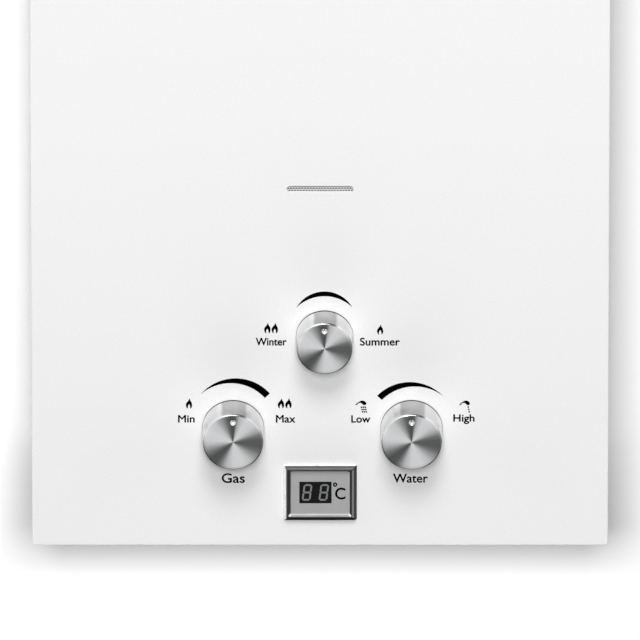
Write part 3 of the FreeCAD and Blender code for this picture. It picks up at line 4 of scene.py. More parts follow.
import bmesh
import bpy
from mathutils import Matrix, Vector

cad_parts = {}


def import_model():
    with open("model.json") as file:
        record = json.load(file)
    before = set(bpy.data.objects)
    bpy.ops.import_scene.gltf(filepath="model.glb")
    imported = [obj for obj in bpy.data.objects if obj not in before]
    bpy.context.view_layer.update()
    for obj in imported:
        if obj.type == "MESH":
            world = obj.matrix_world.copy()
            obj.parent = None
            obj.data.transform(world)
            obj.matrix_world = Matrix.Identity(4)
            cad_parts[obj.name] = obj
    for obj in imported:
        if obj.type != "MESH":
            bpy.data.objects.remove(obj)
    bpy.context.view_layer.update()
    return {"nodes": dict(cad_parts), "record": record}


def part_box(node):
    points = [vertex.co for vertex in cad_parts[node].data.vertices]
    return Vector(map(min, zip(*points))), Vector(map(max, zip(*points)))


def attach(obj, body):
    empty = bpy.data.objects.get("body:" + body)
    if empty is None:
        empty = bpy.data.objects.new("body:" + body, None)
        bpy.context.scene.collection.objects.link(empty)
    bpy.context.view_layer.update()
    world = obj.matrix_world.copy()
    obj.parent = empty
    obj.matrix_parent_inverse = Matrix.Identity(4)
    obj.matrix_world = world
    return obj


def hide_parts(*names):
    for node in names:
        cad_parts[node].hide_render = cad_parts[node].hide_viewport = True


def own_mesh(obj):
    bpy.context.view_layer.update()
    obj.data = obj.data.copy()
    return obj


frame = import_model()

# The photograph's camera: straight in front, looking down from a long way off
ELEVATION = math.radians(23)
AIM = Vector((0, -0.140, -0.0895))
PICTURE_WIDTH = 0.3656          # metres across the picture at the front panel
LENS = 1500.0
SENSOR = 36.0
PICTURE = 640
PIXEL = PICTURE_WIDTH / PICTURE

# The front panel
PANEL_Y = -0.140
PANEL_BOTTOM = -0.230
PANEL_BOTTOM_ROW = 546.3        # of the picture
INK = 0.00005                   # thickness of the print


def seen(column, row, y=PANEL_Y):
    """The x and z of a point of the picture, on the upright plane at y."""
    x = (column - PICTURE / 2) * PIXEL
    z = PANEL_BOTTOM + (PANEL_BOTTOM_ROW - row) * PIXEL / math.cos(ELEVATION)
    return x, z + (PANEL_Y - y) * math.tan(ELEVATION)


def srgb(red, green=None, blue=None):
    """A colour given as three bytes, or one for a grey, as the shader takes it."""
    levels = (red, red if green is None else green, red if blue is None else blue)
    return tuple(
        v / 255 / 12.92 if v <= 10 else ((v / 255 + 0.055) / 1.055) ** 2.4 for v in levels
    ) + (1.0,)


# Materials

def add(tree, kind, inputs=None, **settings):
    """A new node. Inputs are sockets to link or values to set, by name or place."""
    made = tree.nodes.new("ShaderNode" + kind)
    for key, value in settings.items():
        setattr(made, key, value)
    for key, value in (inputs or {}).items():
        if isinstance(value, bpy.types.NodeSocket):
            tree.links.new(value, made.inputs[key])
        else:
            made.inputs[key].default_value = value
    return made


def blank(name, **sockets):
    """A material with its shader's constants set, and its tree and shader."""
    made = bpy.data.materials.new(name)
    made.use_nodes = True
    shader = made.node_tree.nodes["Principled BSDF"]
    for key, value in sockets.items():
        shader.inputs[key.replace("_", " ")].default_value = value
    return made, made.node_tree, shader


def place(tree, stretch=(1, 1, 1)):
    """Object coordinates in metres, stretched."""
    where = add(tree, "TexCoord")
    return add(tree, "Mapping", {"Vector": where.outputs["Object"], "Scale": stretch}).outputs["Vector"]


def noise(tree, vector, scale, detail=3.0, roughness=0.5):
    return add(
        tree, "TexNoise", {"Vector": vector, "Scale": scale, "Detail": detail, "Roughness": roughness}
    ).outputs["Fac"]


def ramp(tree, factor, stops):
    """A colour ramp through (place, colour) stops."""
    made = add(tree, "ValToRGB", {"Fac": factor})
    elements = made.color_ramp.elements
    elements.remove(elements[1])
    elements[0].position, elements[0].color = stops[0]
    for position, colour in stops[1:]:
        elements.new(position).color = colour
    return made.outputs["Color"]


def spread(tree, value, low, high, start=0.3, end=0.7):
    """A value that runs from start to end, mapped to low and high."""
    ends = {"From Min": start, "From Max": end, "To Min": low, "To Max": high}
    return add(tree, "MapRange", {"Value": value, **ends}).outputs["Result"]


def bump(tree, height, distance, strength=1.0):
    sockets = {"Height": height, "Distance": distance, "Strength": strength}
    return add(tree, "Bump", sockets).outputs["Normal"]


def times(colour, factor):
    return tuple(min(1.0, c * factor) for c in colour[:3]) + (1.0,)


def surface(
    name, colour, rough, tone=0.05, tone_scale=40, tone_stretch=(1, 1, 1), rough_change=0.05,
    rough_scale=120, grain=0.0, grain_scale=900, grain_stretch=(1, 1, 1), **sockets,
):
    """A material whose colour, roughness and relief vary a little over the surface."""
    made, tree, shader = blank(name, **sockets)
    link = tree.links.new
    mottle = noise(tree, place(tree, tone_stretch), tone_scale, 4.0)
    tints = [(0.3, times(colour, 1 - tone)), (0.7, times(colour, 1 + tone))]
    link(ramp(tree, mottle, tints), shader.inputs["Base Color"])
    film = noise(tree, place(tree, grain_stretch), rough_scale, 3.0)
    link(spread(tree, film, rough - rough_change, rough + rough_change), shader.inputs["Roughness"])
    if grain:
        fine = noise(tree, place(tree, grain_stretch), grain_scale, 2.0)
        link(bump(tree, fine, grain), shader.inputs["Normal"])
    return made


def galvanised():
    """Zinc-coated sheet: a patchwork of spangles a few millimetres across."""
    made, tree, shader = blank("galvanised_sheet", Metallic=0.92)
    link = tree.links.new
    wander = add(tree, "TexNoise", {"Vector": place(tree), "Scale": 60.0, "Detail": 2.0})
    warped = add(
        tree, "VectorMath", {0: wander.outputs["Color"], 1: (0.008, 0.008, 0.008), 2: place(tree)},
        operation="MULTIPLY_ADD",
    )
    cells = add(tree, "TexVoronoi", {"Vector": warped.outputs["Vector"], "Scale": 150.0})
    tint = add(tree, "SeparateColor", {"Color": cells.outputs["Color"]})
    tints = [(0.0, srgb(160, 163, 166)), (0.5, srgb(170, 173, 176)), (1.0, srgb(181, 184, 187))]
    link(ramp(tree, tint.outputs["Red"], tints), shader.inputs["Base Color"])
    link(spread(tree, tint.outputs["Green"], 0.38, 0.48, 0, 1), shader.inputs["Roughness"])
    link(bump(tree, cells.outputs["Distance"], 0.00002, 0.4), shader.inputs["Normal"])
    return made


def heated(name, colour, low, high):
    """Steel that has seen the fire: straw, brown and blue tints that grow with height."""
    made, tree, shader = blank(name, Metallic=0.95)
    link = tree.links.new
    height = add(tree, "SeparateXYZ", {"Vector": place(tree)}).outputs["Z"]
    wave = noise(tree, place(tree), 70.0, 4.0)
    level = add(tree, "Math", {0: wave, 1: 0.03, 2: height}, operation="MULTIPLY_ADD").outputs["Value"]
    tints = [
        (0.0, times(colour, 0.95)), (0.45, colour), (0.7, srgb(176, 140, 100)),
        (0.85, srgb(120, 92, 96)), (1.0, srgb(92, 100, 122)),
    ]
    link(ramp(tree, spread(tree, level, 0, 1, low, high), tints), shader.inputs["Base Color"])
    link(spread(tree, noise(tree, place(tree), 160.0), 0.3, 0.48), shader.inputs["Roughness"])
    link(bump(tree, noise(tree, place(tree), 900.0), 0.00002, 0.5), shader.inputs["Normal"])
    return made


def turned_metal(name, colour, rough, axis_place, painted_light_by_angle, groove=0.000004, **sockets):
    """Turned metal: fine rings about an axis, and a painted reflection, highlight and shade: brightness
    by the angle round it, from the top.
    """
    made, tree, shader = blank(name, Metallic=1.0, **sockets)
    link = tree.links.new
    shift = tuple(-v for v in axis_place)
    where = add(tree, "TexCoord").outputs["Object"]
    centred = add(tree, "Mapping", {"Vector": where, "Location": shift}).outputs["Vector"]
    parts = add(tree, "SeparateXYZ", {"Vector": centred})
    right, upward = parts.outputs["X"], parts.outputs["Z"]
    angle = add(tree, "Math", {0: right, 1: upward}, operation="ARCTAN2").outputs["Value"]
    turn = spread(tree, angle, 0.0, 1.0, -math.pi, math.pi)
    flat = add(tree, "CombineXYZ", {"X": right, "Y": upward}).outputs["Vector"]
    radius = add(tree, "VectorMath", {0: flat}, operation="LENGTH").outputs["Value"]
    rings = add(
        tree, "TexNoise", {"W": radius, "Scale": 2600.0, "Detail": 2.0}, noise_dimensions="1D"
    ).outputs["Fac"]
    # Painted light: the table's brightness by the angle round the axis stands in for reflections,
    # highlights and shade
    painted_light = ramp(tree, turn, [((p + 180) / 360, times(colour, v)) for p, v in painted_light_by_angle])
    grooves = ramp(tree, rings, [(0.3, (0.90, 0.90, 0.90, 1)), (0.7, (1, 1, 1, 1))])
    mixed = add(tree, "MixRGB", {"Fac": 1.0, "Color1": painted_light, "Color2": grooves}, blend_type="MULTIPLY")
    link(mixed.outputs["Color"], shader.inputs["Base Color"])
    link(spread(tree, rings, rough - 0.05, rough + 0.07), shader.inputs["Roughness"])
    link(bump(tree, rings, groove, 0.5), shader.inputs["Normal"])
    tangent = add(tree, "Tangent", direction_type="RADIAL", axis="Y")
    link(tangent.outputs["Tangent"], shader.inputs["Tangent"])
    return made


brushed = dict(tone_stretch=(1, 1, 40), grain_stretch=(1, 1, 60))
looks = {
    "enamel": surface(
        "white_enamel", srgb(239), 0.27, tone=0.004, tone_scale=900, rough_change=0.01,
        rough_scale=1100, grain=0.000012, grain_scale=420, Coat_Weight=0.3, Coat_Roughness=0.08,
    ),
    "galvanised": galvanised(),
    "zinc_screw": surface(
        "bright_zinc", srgb(190, 194, 197), 0.24, tone=0.06, tone_scale=300, grain=0.000006, Metallic=1.0,
    ),
    "stainless": surface(
        "stainless_sheet", srgb(196, 196, 194), 0.3, tone=0.05, tone_scale=60, grain=0.000006,
        grain_scale=300, Metallic=1.0, **brushed,
    ),
    "aluminised": surface(
        "aluminised_sheet", srgb(186, 187, 185), 0.46, tone=0.07, tone_scale=90, rough_change=0.08,
        grain=0.00001, grain_scale=700, Metallic=0.9,
    ),
    "copper": surface(
        "drawn_copper", srgb(208, 139, 104), 0.3, tone=0.14, tone_scale=45, rough_change=0.1,
        rough_scale=60, grain=0.000008, grain_scale=600, Metallic=1.0,
    ),
    "grille": surface(
        "grille_sheet", srgb(232, 233, 233), 0.5, tone=0.05, tone_scale=90, rough_change=0.06,
        grain=0.00001, grain_scale=700, Metallic=0.3,
    ),
    "mica": surface(
        "clear_mica", srgb(232, 222, 200), 0.08, tone=0.04, tone_scale=120, rough_change=0.03,
        Transmission_Weight=0.92, IOR=1.56,
    ),
    "burner_steel": heated("burner_steel", srgb(172, 170, 166), -0.07, 0.02),
    "die_cast": surface(
        "die_cast", srgb(176, 179, 182), 0.47, tone=0.06, tone_scale=150, rough_change=0.06,
        grain=0.00003, grain_scale=1100, Metallic=0.9,
    ),
    "brass": surface(
        "turned_brass", srgb(206, 176, 112), 0.27, tone=0.07, tone_scale=80, rough_change=0.06,
        grain=0.000006, grain_scale=1500, grain_stretch=(1, 1, 6), Metallic=1.0,
    ),
    "rubber": surface("black_rubber", srgb(34, 34, 35), 0.72, tone=0.15, grain=0.00003, grain_scale=1400),
    "spring_steel": surface(
        "spring_wire", srgb(166, 167, 170), 0.28, tone=0.08, tone_scale=300, grain=0.000006, Metallic=1.0,
    ),
    "black_plastic": surface(
        "black_plastic", srgb(33, 33, 35), 0.46, tone=0.1, tone_scale=60, rough_change=0.05,
        grain=0.000025, grain_scale=1600,
    ),
    "cell_case": surface("cell_sleeve", srgb(70, 73, 76), 0.34, tone=0.08, grain=0.000006, Metallic=0.6),
    "grey_plastic": surface(
        "grey_film", srgb(165), 0.34, tone=0.03, tone_scale=90, rough_change=0.04,
        grain=0.000005, grain_scale=1800, Coat_Weight=0.3, Coat_Roughness=0.15,
    ),
    "cable_jacket": surface(
        "cable_jacket", srgb(40, 40, 41), 0.5, tone=0.1, grain=0.00001, grain_scale=1200,
    ),
    "ceramic": surface(
        "glazed_ceramic", srgb(238, 233, 220), 0.16, tone=0.03, tone_scale=200, grain=0.00001,
    ),
    "bezel_chrome": surface(
        "bezel_chrome", srgb(196, 198, 200), 0.13, tone=0.03, tone_scale=160, rough_change=0.04,
        grain=0.000004, grain_scale=700, Metallic=1.0,
    ),
    "module_black": surface(
        "module_black", srgb(9), 0.45, tone=0.08, tone_scale=200, grain=0.000004, Specular_IOR_Level=0.15,
    ),
    "segment_grey": surface(
        "segment_grey", srgb(122, 123, 125), 0.42, tone=0.05, tone_scale=400, grain=0.000006,
    ),
    "knob_aluminium": surface(
        "knob_aluminium", srgb(206, 208, 210), 0.3, tone=0.04, tone_scale=200, grain=0.000005,
        Metallic=1.0, **brushed,
    ),
}
ink = surface(
    "black_print", srgb(2), 0.7, tone=0.1, tone_scale=300, rough_change=0.06, Specular_IOR_Level=0.0,
)

slots = {row["node"]: row["material_slot"] for row in frame["record"]["subparts"]}
for node_name, thing in frame["nodes"].items():
    thing.data.materials.clear()
    thing.data.materials.append(looks["grille" if node_name == "window_mesh" else slots[node_name]])


# Mesh helpers

SHARP = math.radians(32)
SHARP_TURNED = math.radians(25)
SHARP_THREAD = math.radians(40)


def smooth(thing, angle=SHARP):
    """Shades the faces smooth, with sharp edges kept where they turn by more than the angle."""
    edit = bmesh.new()
    edit.from_mesh(thing.data)
    bmesh.ops.remove_doubles(edit, verts=edit.verts, dist=1e-7)
    bmesh.ops.recalc_face_normals(edit, faces=edit.faces)
    for face in edit.faces:
        face.smooth = True
    for edge in edit.edges:
        edge.smooth = len(edge.link_faces) == 2 and edge.calc_face_angle(0) < angle
    edit.to_mesh(thing.data)
    edit.free()


def piece(name, points, faces, material, body, sharp=SHARP):
    """A mesh piece of the object, in metres, that rides on a body."""
    mesh = bpy.data.meshes.new(name)
    mesh.from_pydata([tuple(p) for p in points], [], faces)
    mesh.materials.append(material)
    thing = bpy.data.objects.new(name, mesh)
    bpy.context.scene.collection.objects.link(thing)
    smooth(thing, sharp)
    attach(thing, body)
    return thing


def lathed(profile, steps, to_point):
    """Points and faces of a closed profile of (radius, along), turned. A radius of 0 is a pole."""
    points, faces, rows = [], [], []
    for radius, along in profile:
        if radius == 0:
            rows.append([len(points)] * steps)
            points.append(to_point(0, 0, along))
        else:
            rows.append(list(range(len(points), len(points) + steps)))
            for k in range(steps):
                a = 2 * math.pi * k / steps
                points.append(to_point(radius * math.sin(a), radius * math.cos(a), along))
    for low, high in zip(rows, rows[1:] + rows[:1]):
        for k in range(steps):
            n = (k + 1) % steps
            corners = list(dict.fromkeys([low[k], low[n], high[n], high[k]]))
            if len(corners) > 2:
                faces.append(corners)
    return points, faces


def rounded(outline, steps=6):
    """A closed smooth curve through the outline's points."""
    count = len(outline)
    made = []
    for k in range(count):
        a, b, c, d = (Vector(outline[(k + i) % count]) for i in (-1, 0, 1, 2))
        for j in range(steps):
            t = j / steps
            square, cube = 2 * a - 5 * b + 4 * c - d, 3 * b - a - 3 * c + d
            made.append(0.5 * (2 * b + (c - a) * t + square * t * t + cube * t ** 3))
    return made


def arc_through(start, middle, end, steps=48):
    """Points of the circle's arc from start through middle to end."""
    (ax, ay), (bx, by), (cx, cy) = start, middle, end
    d = 2 * (ax * (by - cy) + bx * (cy - ay) + cx * (ay - by))
    a2, b2, c2 = ax * ax + ay * ay, bx * bx + by * by, cx * cx + cy * cy
    x = (a2 * (by - cy) + b2 * (cy - ay) + c2 * (ay - by)) / d
    y = (a2 * (cx - bx) + b2 * (ax - cx) + c2 * (bx - ax)) / d
    radius = math.hypot(ax - x, ay - y)
    first, last = math.atan2(ay - y, ax - x), math.atan2(cy - y, cx - x)
    turns = [first + (last - first) * k / steps for k in range(steps + 1)]
    return [(x + radius * math.cos(turn), y + radius * math.sin(turn)) for turn in turns]


WORD_DEPTH = 0.1                # tells a word's front from its back before it is flattened
WORD_STEPS = 8


def print_shapes(name, outlines):
    """Thin flat shapes of print on the panel. The outlines are points of the picture."""
    points, faces = [], []
    for outline in outlines:
        first, count = len(points), len(outline)
        flat = [seen(column, row) for column, row in outline]
        points += [(x, PANEL_Y - INK, z) for x, z in flat] + [(x, PANEL_Y, z) for x, z in flat]
        faces.append(list(range(first, first + count)))
        faces.append(list(range(first + 2 * count - 1, first + count - 1, -1)))
        faces += [
            (first + k, first + (k + 1) % count, first + count + (k + 1) % count, first + count + k)
            for k in range(count)
        ]
    piece(name, points, faces, ink, "heater")


def word(name, text, left, top, right, bottom, y=PANEL_Y, weight=0.28, slot="enamel"):
    """Raised print of a word, fitted to a box of the picture. The weight widens its strokes."""
    curve = bpy.data.curves.new(name, "FONT")
    curve.body = text
    curve.extrude = WORD_DEPTH
    curve.resolution_u = WORD_STEPS
    holder = bpy.data.objects.new(name + "_curve", curve)
    bpy.context.scene.collection.objects.link(holder)
    bpy.context.view_layer.update()
    mesh = bpy.data.meshes.new_from_object(holder.evaluated_get(bpy.context.evaluated_depsgraph_get()))
    bpy.data.objects.remove(holder)
    x0, x1 = min(v.co.x for v in mesh.vertices), max(v.co.x for v in mesh.vertices)
    y0, y1 = min(v.co.y for v in mesh.vertices), max(v.co.y for v in mesh.vertices)
    reach = weight / 2
    low, high = seen(left + reach, bottom - reach, y), seen(right - reach, top + reach, y)
    points, faces = [], []
    for across, up in ((-1, 0), (1, 0), (0, -1), (0, 1)):
        first = len(points)
        for v in mesh.vertices:
            x = low[0] + (v.co.x - x0) / (x1 - x0) * (high[0] - low[0]) + across * weight * PIXEL
            z = low[1] + (v.co.y - y0) / (y1 - y0) * (high[1] - low[1]) + up * weight * PIXEL
            points.append((x, y - INK if v.co.z > 0 else y, z))
        faces += [[first + k for k in polygon.vertices] for polygon in mesh.polygons]
    bpy.data.meshes.remove(mesh)
    piece(name, points, faces, ink, "heater")


# Camera, stage and light

def camera():
    data = bpy.data.cameras.new("camera")
    data.lens = LENS
    data.sensor_width = SENSOR
    distance = PICTURE_WIDTH * LENS / SENSOR
    data.clip_end = 2 * distance
    made = bpy.data.objects.new("camera", data)
    back = Vector((0, -math.cos(ELEVATION), math.sin(ELEVATION)))
    made.location = AIM + back * distance
    made.rotation_mode = "QUATERNION"
    made.rotation_quaternion = (-back).to_track_quat("-Z", "Y")
    bpy.context.scene.collection.objects.link(made)
    bpy.context.scene.camera = made


def backdrop(name, corners, colour, lift):
    """A one-sided sheet that only the camera sees. It takes shadows and is lifted towards white."""
    mesh = bpy.data.meshes.new(name)
    mesh.from_pydata(corners, [], [(0, 1, 2, 3)])
    made, tree, shader = blank(
        name, Roughness=1.0, Specular_IOR_Level=0.0, Emission_Color=(1, 1, 1, 1), Emission_Strength=lift
    )
    cloud = noise(tree, place(tree), 2.0, 2.0)
    tints = [(0.3, times(colour, 0.995)), (0.7, colour)]
    tree.links.new(ramp(tree, cloud, tints), shader.inputs["Base Color"])
    clear = add(tree, "BsdfTransparent")
    back = add(tree, "NewGeometry").outputs["Backfacing"]
    both = add(tree, "MixShader", {0: back, 1: shader.outputs["BSDF"], 2: clear.outputs["BSDF"]})
    tree.links.new(both.outputs["Shader"], tree.nodes["Material Output"].inputs["Surface"])
    mesh.materials.append(made)
    thing = bpy.data.objects.new(name, mesh)
    bpy.context.scene.collection.objects.link(thing)
    thing.visible_diffuse = False
    thing.visible_glossy = False
    thing.visible_shadow = False
    thing.visible_transmission = False
    return thing


WALL_GAP = 0.0015               # between the wall and the back plate
WALL_HALF = 1.4
FLOOR_FRONT = -2.5
FLOOR_LEVEL = -0.62
FILL = 0.12                     # even light from all round
wall = backdrop(
    "stage_wall",
    [(-WALL_HALF, WALL_GAP, FLOOR_LEVEL), (WALL_HALF, WALL_GAP, FLOOR_LEVEL),
     (WALL_HALF, WALL_GAP, WALL_HALF), (-WALL_HALF, WALL_GAP, WALL_HALF)],
    srgb(255), 0.01,
)
backdrop(
    "stage_floor",
    [(-WALL_HALF, FLOOR_FRONT, FLOOR_LEVEL), (WALL_HALF, FLOOR_FRONT, FLOOR_LEVEL),
     (WALL_HALF, WALL_GAP, FLOOR_LEVEL), (-WALL_HALF, WALL_GAP, FLOOR_LEVEL)],
    srgb(244), 0.1,
)


def lamp(name, azimuth, elevation, distance, width, height, share, wall_only=False):
    """A soft lamp. Its share is of the light at which a white surface that faces it renders white.

    It lights only the wall, or everything but the wall.
    """
    data = bpy.data.lights.new(name, "AREA")
    data.shape = "RECTANGLE"
    data.size = width
    data.size_y = height
    data.energy = share * math.pi ** 2 * distance ** 2
    made = bpy.data.objects.new(name, data)
    a, e = math.radians(azimuth), math.radians(elevation)
    back = Vector((math.sin(a) * math.cos(e), -math.cos(a) * math.cos(e), math.sin(e)))
    made.location = AIM + back * distance
    made.rotation_mode = "QUATERNION"
    made.rotation_quaternion = (-back).to_track_quat("-Z", "Y")
    made.visible_camera = False
    bpy.context.scene.collection.objects.link(made)
    receivers = bpy.data.collections.new(name + "_receivers")
    receivers.objects.link(wall)
    receivers.collection_objects[0].light_linking.link_state = "INCLUDE" if wall_only else "EXCLUDE"
    made.light_linking.receiver_collection = receivers
    return made


def world():
    """White to the camera, a soft studio to polished metal, and an even fill to everything else."""
    made = bpy.data.worlds.new("studio")
    made.use_nodes = True
    tree = made.node_tree
    ground = tree.nodes["Background"]
    fill = add(tree, "Background", {"Color": (1, 1, 1, 1), "Strength": FILL})
    height = add(tree, "SeparateXYZ", {"Vector": add(tree, "TexCoord").outputs["Generated"]}).outputs["Z"]
    room = ramp(
        tree, spread(tree, height, 0, 1, -1, 1),
        [(0.0, srgb(40)), (0.12, srgb(60)), (0.22, srgb(190)), (0.3, srgb(232)), (0.45, srgb(232)),
         (0.55, srgb(205)), (0.7, srgb(205)), (0.72, srgb(255)), (1.0, srgb(255))],
    )
    tree.links.new(room, ground.inputs["Color"])
    white = add(tree, "Background", {"Color": (1, 1, 1, 1), "Strength": 1.0})
    path = add(tree, "LightPath")
    glossy = path.outputs["Is Glossy Ray"]
    first = add(tree, "MixShader", {0: glossy, 1: fill.outputs[0], 2: ground.outputs[0]})
    clear = add(
        tree, "Math", {0: path.outputs["Is Camera Ray"], 1: path.outputs["Is Transmission Ray"]},
        operation="MAXIMUM",
    )
    second = add(tree, "MixShader", {0: clear.outputs[0], 1: first.outputs[0], 2: white.outputs[0]})
    tree.links.new(second.outputs[0], tree.nodes["World Output"].inputs["Surface"])
    bpy.context.scene.world = made


camera()
world()
lamp("wall_lamp", -1.1, 22.7, 4.0, 1.1, 0.77, 1.1, wall_only=True)
lamp("key_lamp", 0, 26, 4.0, 0.9, 0.9, 0.49)
lamp("top_lamp", 0, 54, 4.0, 1.4, 1.4, 0.63).visible_glossy = False
for side in (-90, 90):
    lamp("side_lamp" + str(side), side, 12, 2.5, 1.6, 1.6, 0.38).visible_glossy = False
lamp("rear_lamp", 212, 34, 3.5, 1.2, 1.2, 0.75).visible_glossy = False
lamp("low_lamp", 0, -85, 2.5, 1.6, 1.6, 0.5)
bpy.context.scene.view_settings.view_transform = "Standard"


# Knobs

KNOB_BACK = -0.1408
LONG_KNOB_FACE = -0.1601
SHORT_KNOB_FACE = -0.1577
BIG_KNOB_RADIUS = 0.0177
SMALL_KNOB_RADIUS = 0.01635
KNOB_TAPER = 0.0004             # of the radius, from the back to the face
KNOB_CHAMFER = 0.0009
KNOB_WALL = 0.0025
KNOB_FLOOR = 0.0045             # metal behind the face
HUB_RADIUS = 0.0075
BORE_RADIUS = 0.00405
BORE_END = -0.1550
DIMPLE_RADIUS = 0.0021
DIMPLE_SINK = 0.0013            # the ball's centre behind the face
DIMPLE_EDGE = 0.0054            # from the ball's centre to the knob's edge
GAP_SHADOW_RING = 0.0001              # how far the black ring behind a knob, a painted shadow of the gap, shows round it
KNOB_STEPS = 144
FACE_RINGS = 8
CHAMFER_STEPS = 5
BALL_STEPS = 48

# Painted reflections, highlights and shade: brightness by the angle clockwise from the top, in degrees
FACE_PAINTED_REFLECTION = [
    (-180, 0.95), (-164, 0.72), (-152, 0.3), (-143, 0.15), (-128, 0.13), (-116, 0.24), (-102, 0.5),
    (-84, 0.78), (-62, 0.95), (-42, 0.9), (-27, 0.5), (-14, 0.2), (-4, 0.12), (5, 0.14), (14, 0.7),
    (28, 1.0), (48, 0.95), (62, 0.6), (74, 0.22), (84, 0.13), (100, 0.13), (112, 0.22), (126, 0.5),
    (140, 0.85), (156, 1.0), (180, 0.95),
]
# The side: painted reflection bands
SIDE_PAINTED_REFLECTION = [
    (-180, 0.8), (-130, 0.5), (-100, 0.5), (-86, 0.8), (-70, 0.98), (-52, 0.9), (-36, 0.88), (-28, 1.0),
    (-24, 1.0), (-19, 0.6), (0, 0.56), (23, 0.6), (28, 0.92), (50, 0.86), (68, 1.0), (84, 0.8), (98, 0.5),
    (130, 0.5), (180, 0.8),
]
# The rounded rim: painted highlights at the upper left and right, painted shade below
RIM_PAINTED_LIGHT = [
    (-180, 0.15), (-150, 0.12), (-132, 0.12), (-108, 0.2), (-88, 0.5), (-70, 1.0), (-40, 1.0), (-10, 0.9),
    (0, 0.35), (16, 0.1), (22, 0.2), (30, 1.0), (58, 1.0), (70, 0.45), (86, 0.2), (110, 0.2),
    (140, 0.15), (180, 0.15),
]
# The dot: painted shade on its upper inner wall
DOT_PAINTED_SHADE = [(-180, 1.0), (-22, 1.0), (-14, 0.03), (14, 0.03), (22, 1.0), (180, 1.0)]


def knob_profile(radius, front):
    """From the middle of the face, round the edge and back inside to the end of the spindle's bore."""
    flat = radius - KNOB_TAPER - KNOB_CHAMFER
    inner = front + KNOB_FLOOR
    profile = [(flat * k / FACE_RINGS, front) for k in range(FACE_RINGS + 1)]
    for k in range(1, CHAMFER_STEPS + 1):
        a = math.pi / 2 * k / CHAMFER_STEPS
        profile.append((flat + KNOB_CHAMFER * math.sin(a), front + KNOB_CHAMFER * (1 - math.cos(a))))
    return profile + [
        (radius, KNOB_BACK - KNOB_CHAMFER / 2), (radius - KNOB_CHAMFER / 4, KNOB_BACK - KNOB_CHAMFER / 8),
        (radius - KNOB_CHAMFER / 2, KNOB_BACK), (radius - KNOB_WALL, KNOB_BACK),
        (radius - KNOB_WALL, inner), (HUB_RADIUS, inner), (HUB_RADIUS, KNOB_BACK),
        (BORE_RADIUS, KNOB_BACK), (BORE_RADIUS, BORE_END), (0, BORE_END),
    ]


def lathed_shut(profile, steps, to_point):
    """A lathed profile whose two ends are poles, without the slivers that would join them."""
    points, faces = lathed(profile, steps, to_point)
    return points, [f for f in faces if not {0, len(points) - 1} <= set(f)]


def milled_dot(thing, name, centre, metal):
    """Cuts a ball-shaped dot out of a piece, with its own metal, which carries the dot's painted shade.
    """
    half = BALL_STEPS // 2
    profile = [(0, -DIMPLE_RADIUS)]
    for k in range(1, half):
        a = math.pi * k / half
        profile.append((DIMPLE_RADIUS * math.sin(a), -DIMPLE_RADIUS * math.cos(a)))
    profile.append((0, DIMPLE_RADIUS))
    points, faces = lathed_shut(
        profile, BALL_STEPS, lambda a, b, along: (centre.x + a, centre.y + along, centre.z + b)
    )
    mesh = bpy.data.meshes.new(name)
    mesh.from_pydata(points, [], faces)
    mesh.materials.append(metal)
    ball = bpy.data.objects.new(name, mesh)
    bpy.context.scene.collection.objects.link(ball)
    smooth(ball)
    cut = thing.modifiers.new("dot", "BOOLEAN")
    cut.operation = "DIFFERENCE"
    cut.solver = "EXACT"
    cut.object = ball
    cut.material_mode = "TRANSFER"
    bpy.context.view_layer.update()
    evaluated = thing.evaluated_get(bpy.context.evaluated_depsgraph_get())
    final = bpy.data.meshes.new_from_object(evaluated)
    thing.modifiers.clear()
    thing.data = final
    bpy.data.objects.remove(ball)


def knob(name, node, body, radius, front):
    """A turned knob with a dot, its metals painted with reflections, highlights and shade, and a black
    ring behind it as painted shadow of the gap.
    """
    low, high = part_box(node)
    x, z = (low.x + high.x) / 2, (low.z + high.z) / 2
    axis = Vector((x, 0, z))
    # The face, side, rim and dot metals carry painted reflections, painted highlights and painted shade
    metal = turned_metal(name + "_face", srgb(246, 247, 248), 0.34, axis, FACE_PAINTED_REFLECTION, Anisotropic=0.6)
    side_painted_reflection = turned_metal(name + "_side", srgb(250), 0.42, axis, SIDE_PAINTED_REFLECTION, groove=0)
    rim_painted_light = turned_metal(name + "_rim", srgb(255), 0.25, axis, RIM_PAINTED_LIGHT, groove=0)
    dot_axis = axis + Vector((0, 0, radius - DIMPLE_EDGE))
    dot_painted_shade = turned_metal(name + "_dimple", srgb(252), 0.3, dot_axis, DOT_PAINTED_SHADE, groove=0)

    def about_axis(a, b, along):
        return x + a, along, z + b

    points, faces = lathed_shut(knob_profile(radius, front), KNOB_STEPS, about_axis)
    thing = piece(name, points, faces, metal, body, SHARP_TURNED)
    thing.data.materials.append(side_painted_reflection)
    thing.data.materials.append(rim_painted_light)
    for polygon in thing.data.polygons:
        out = math.hypot(polygon.center.x - x, polygon.center.z - z)
        if polygon.center.y > front + KNOB_CHAMFER:
            polygon.material_index = 1
        elif out > radius - KNOB_TAPER - KNOB_CHAMFER:
            polygon.material_index = 2
    milled_dot(thing, name + "_ball", dot_axis + Vector((0, front - DIMPLE_SINK, 0)), dot_painted_shade)
    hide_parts(node)
    # A black ring round the knob's base: painted shadow of the gap between the knob and the panel
    ring_front = KNOB_BACK + GAP_SHADOW_RING
    ring_profile = [
        (radius - KNOB_WALL, ring_front), (radius + GAP_SHADOW_RING, ring_front),
        (radius + GAP_SHADOW_RING, PANEL_Y), (radius - KNOB_WALL, PANEL_Y),
    ]
    ring_points, ring_faces = lathed(ring_profile, KNOB_STEPS, about_axis)
    piece(name + "_painted_gap_shadow", ring_points, ring_faces, looks["black_plastic"], "heater")


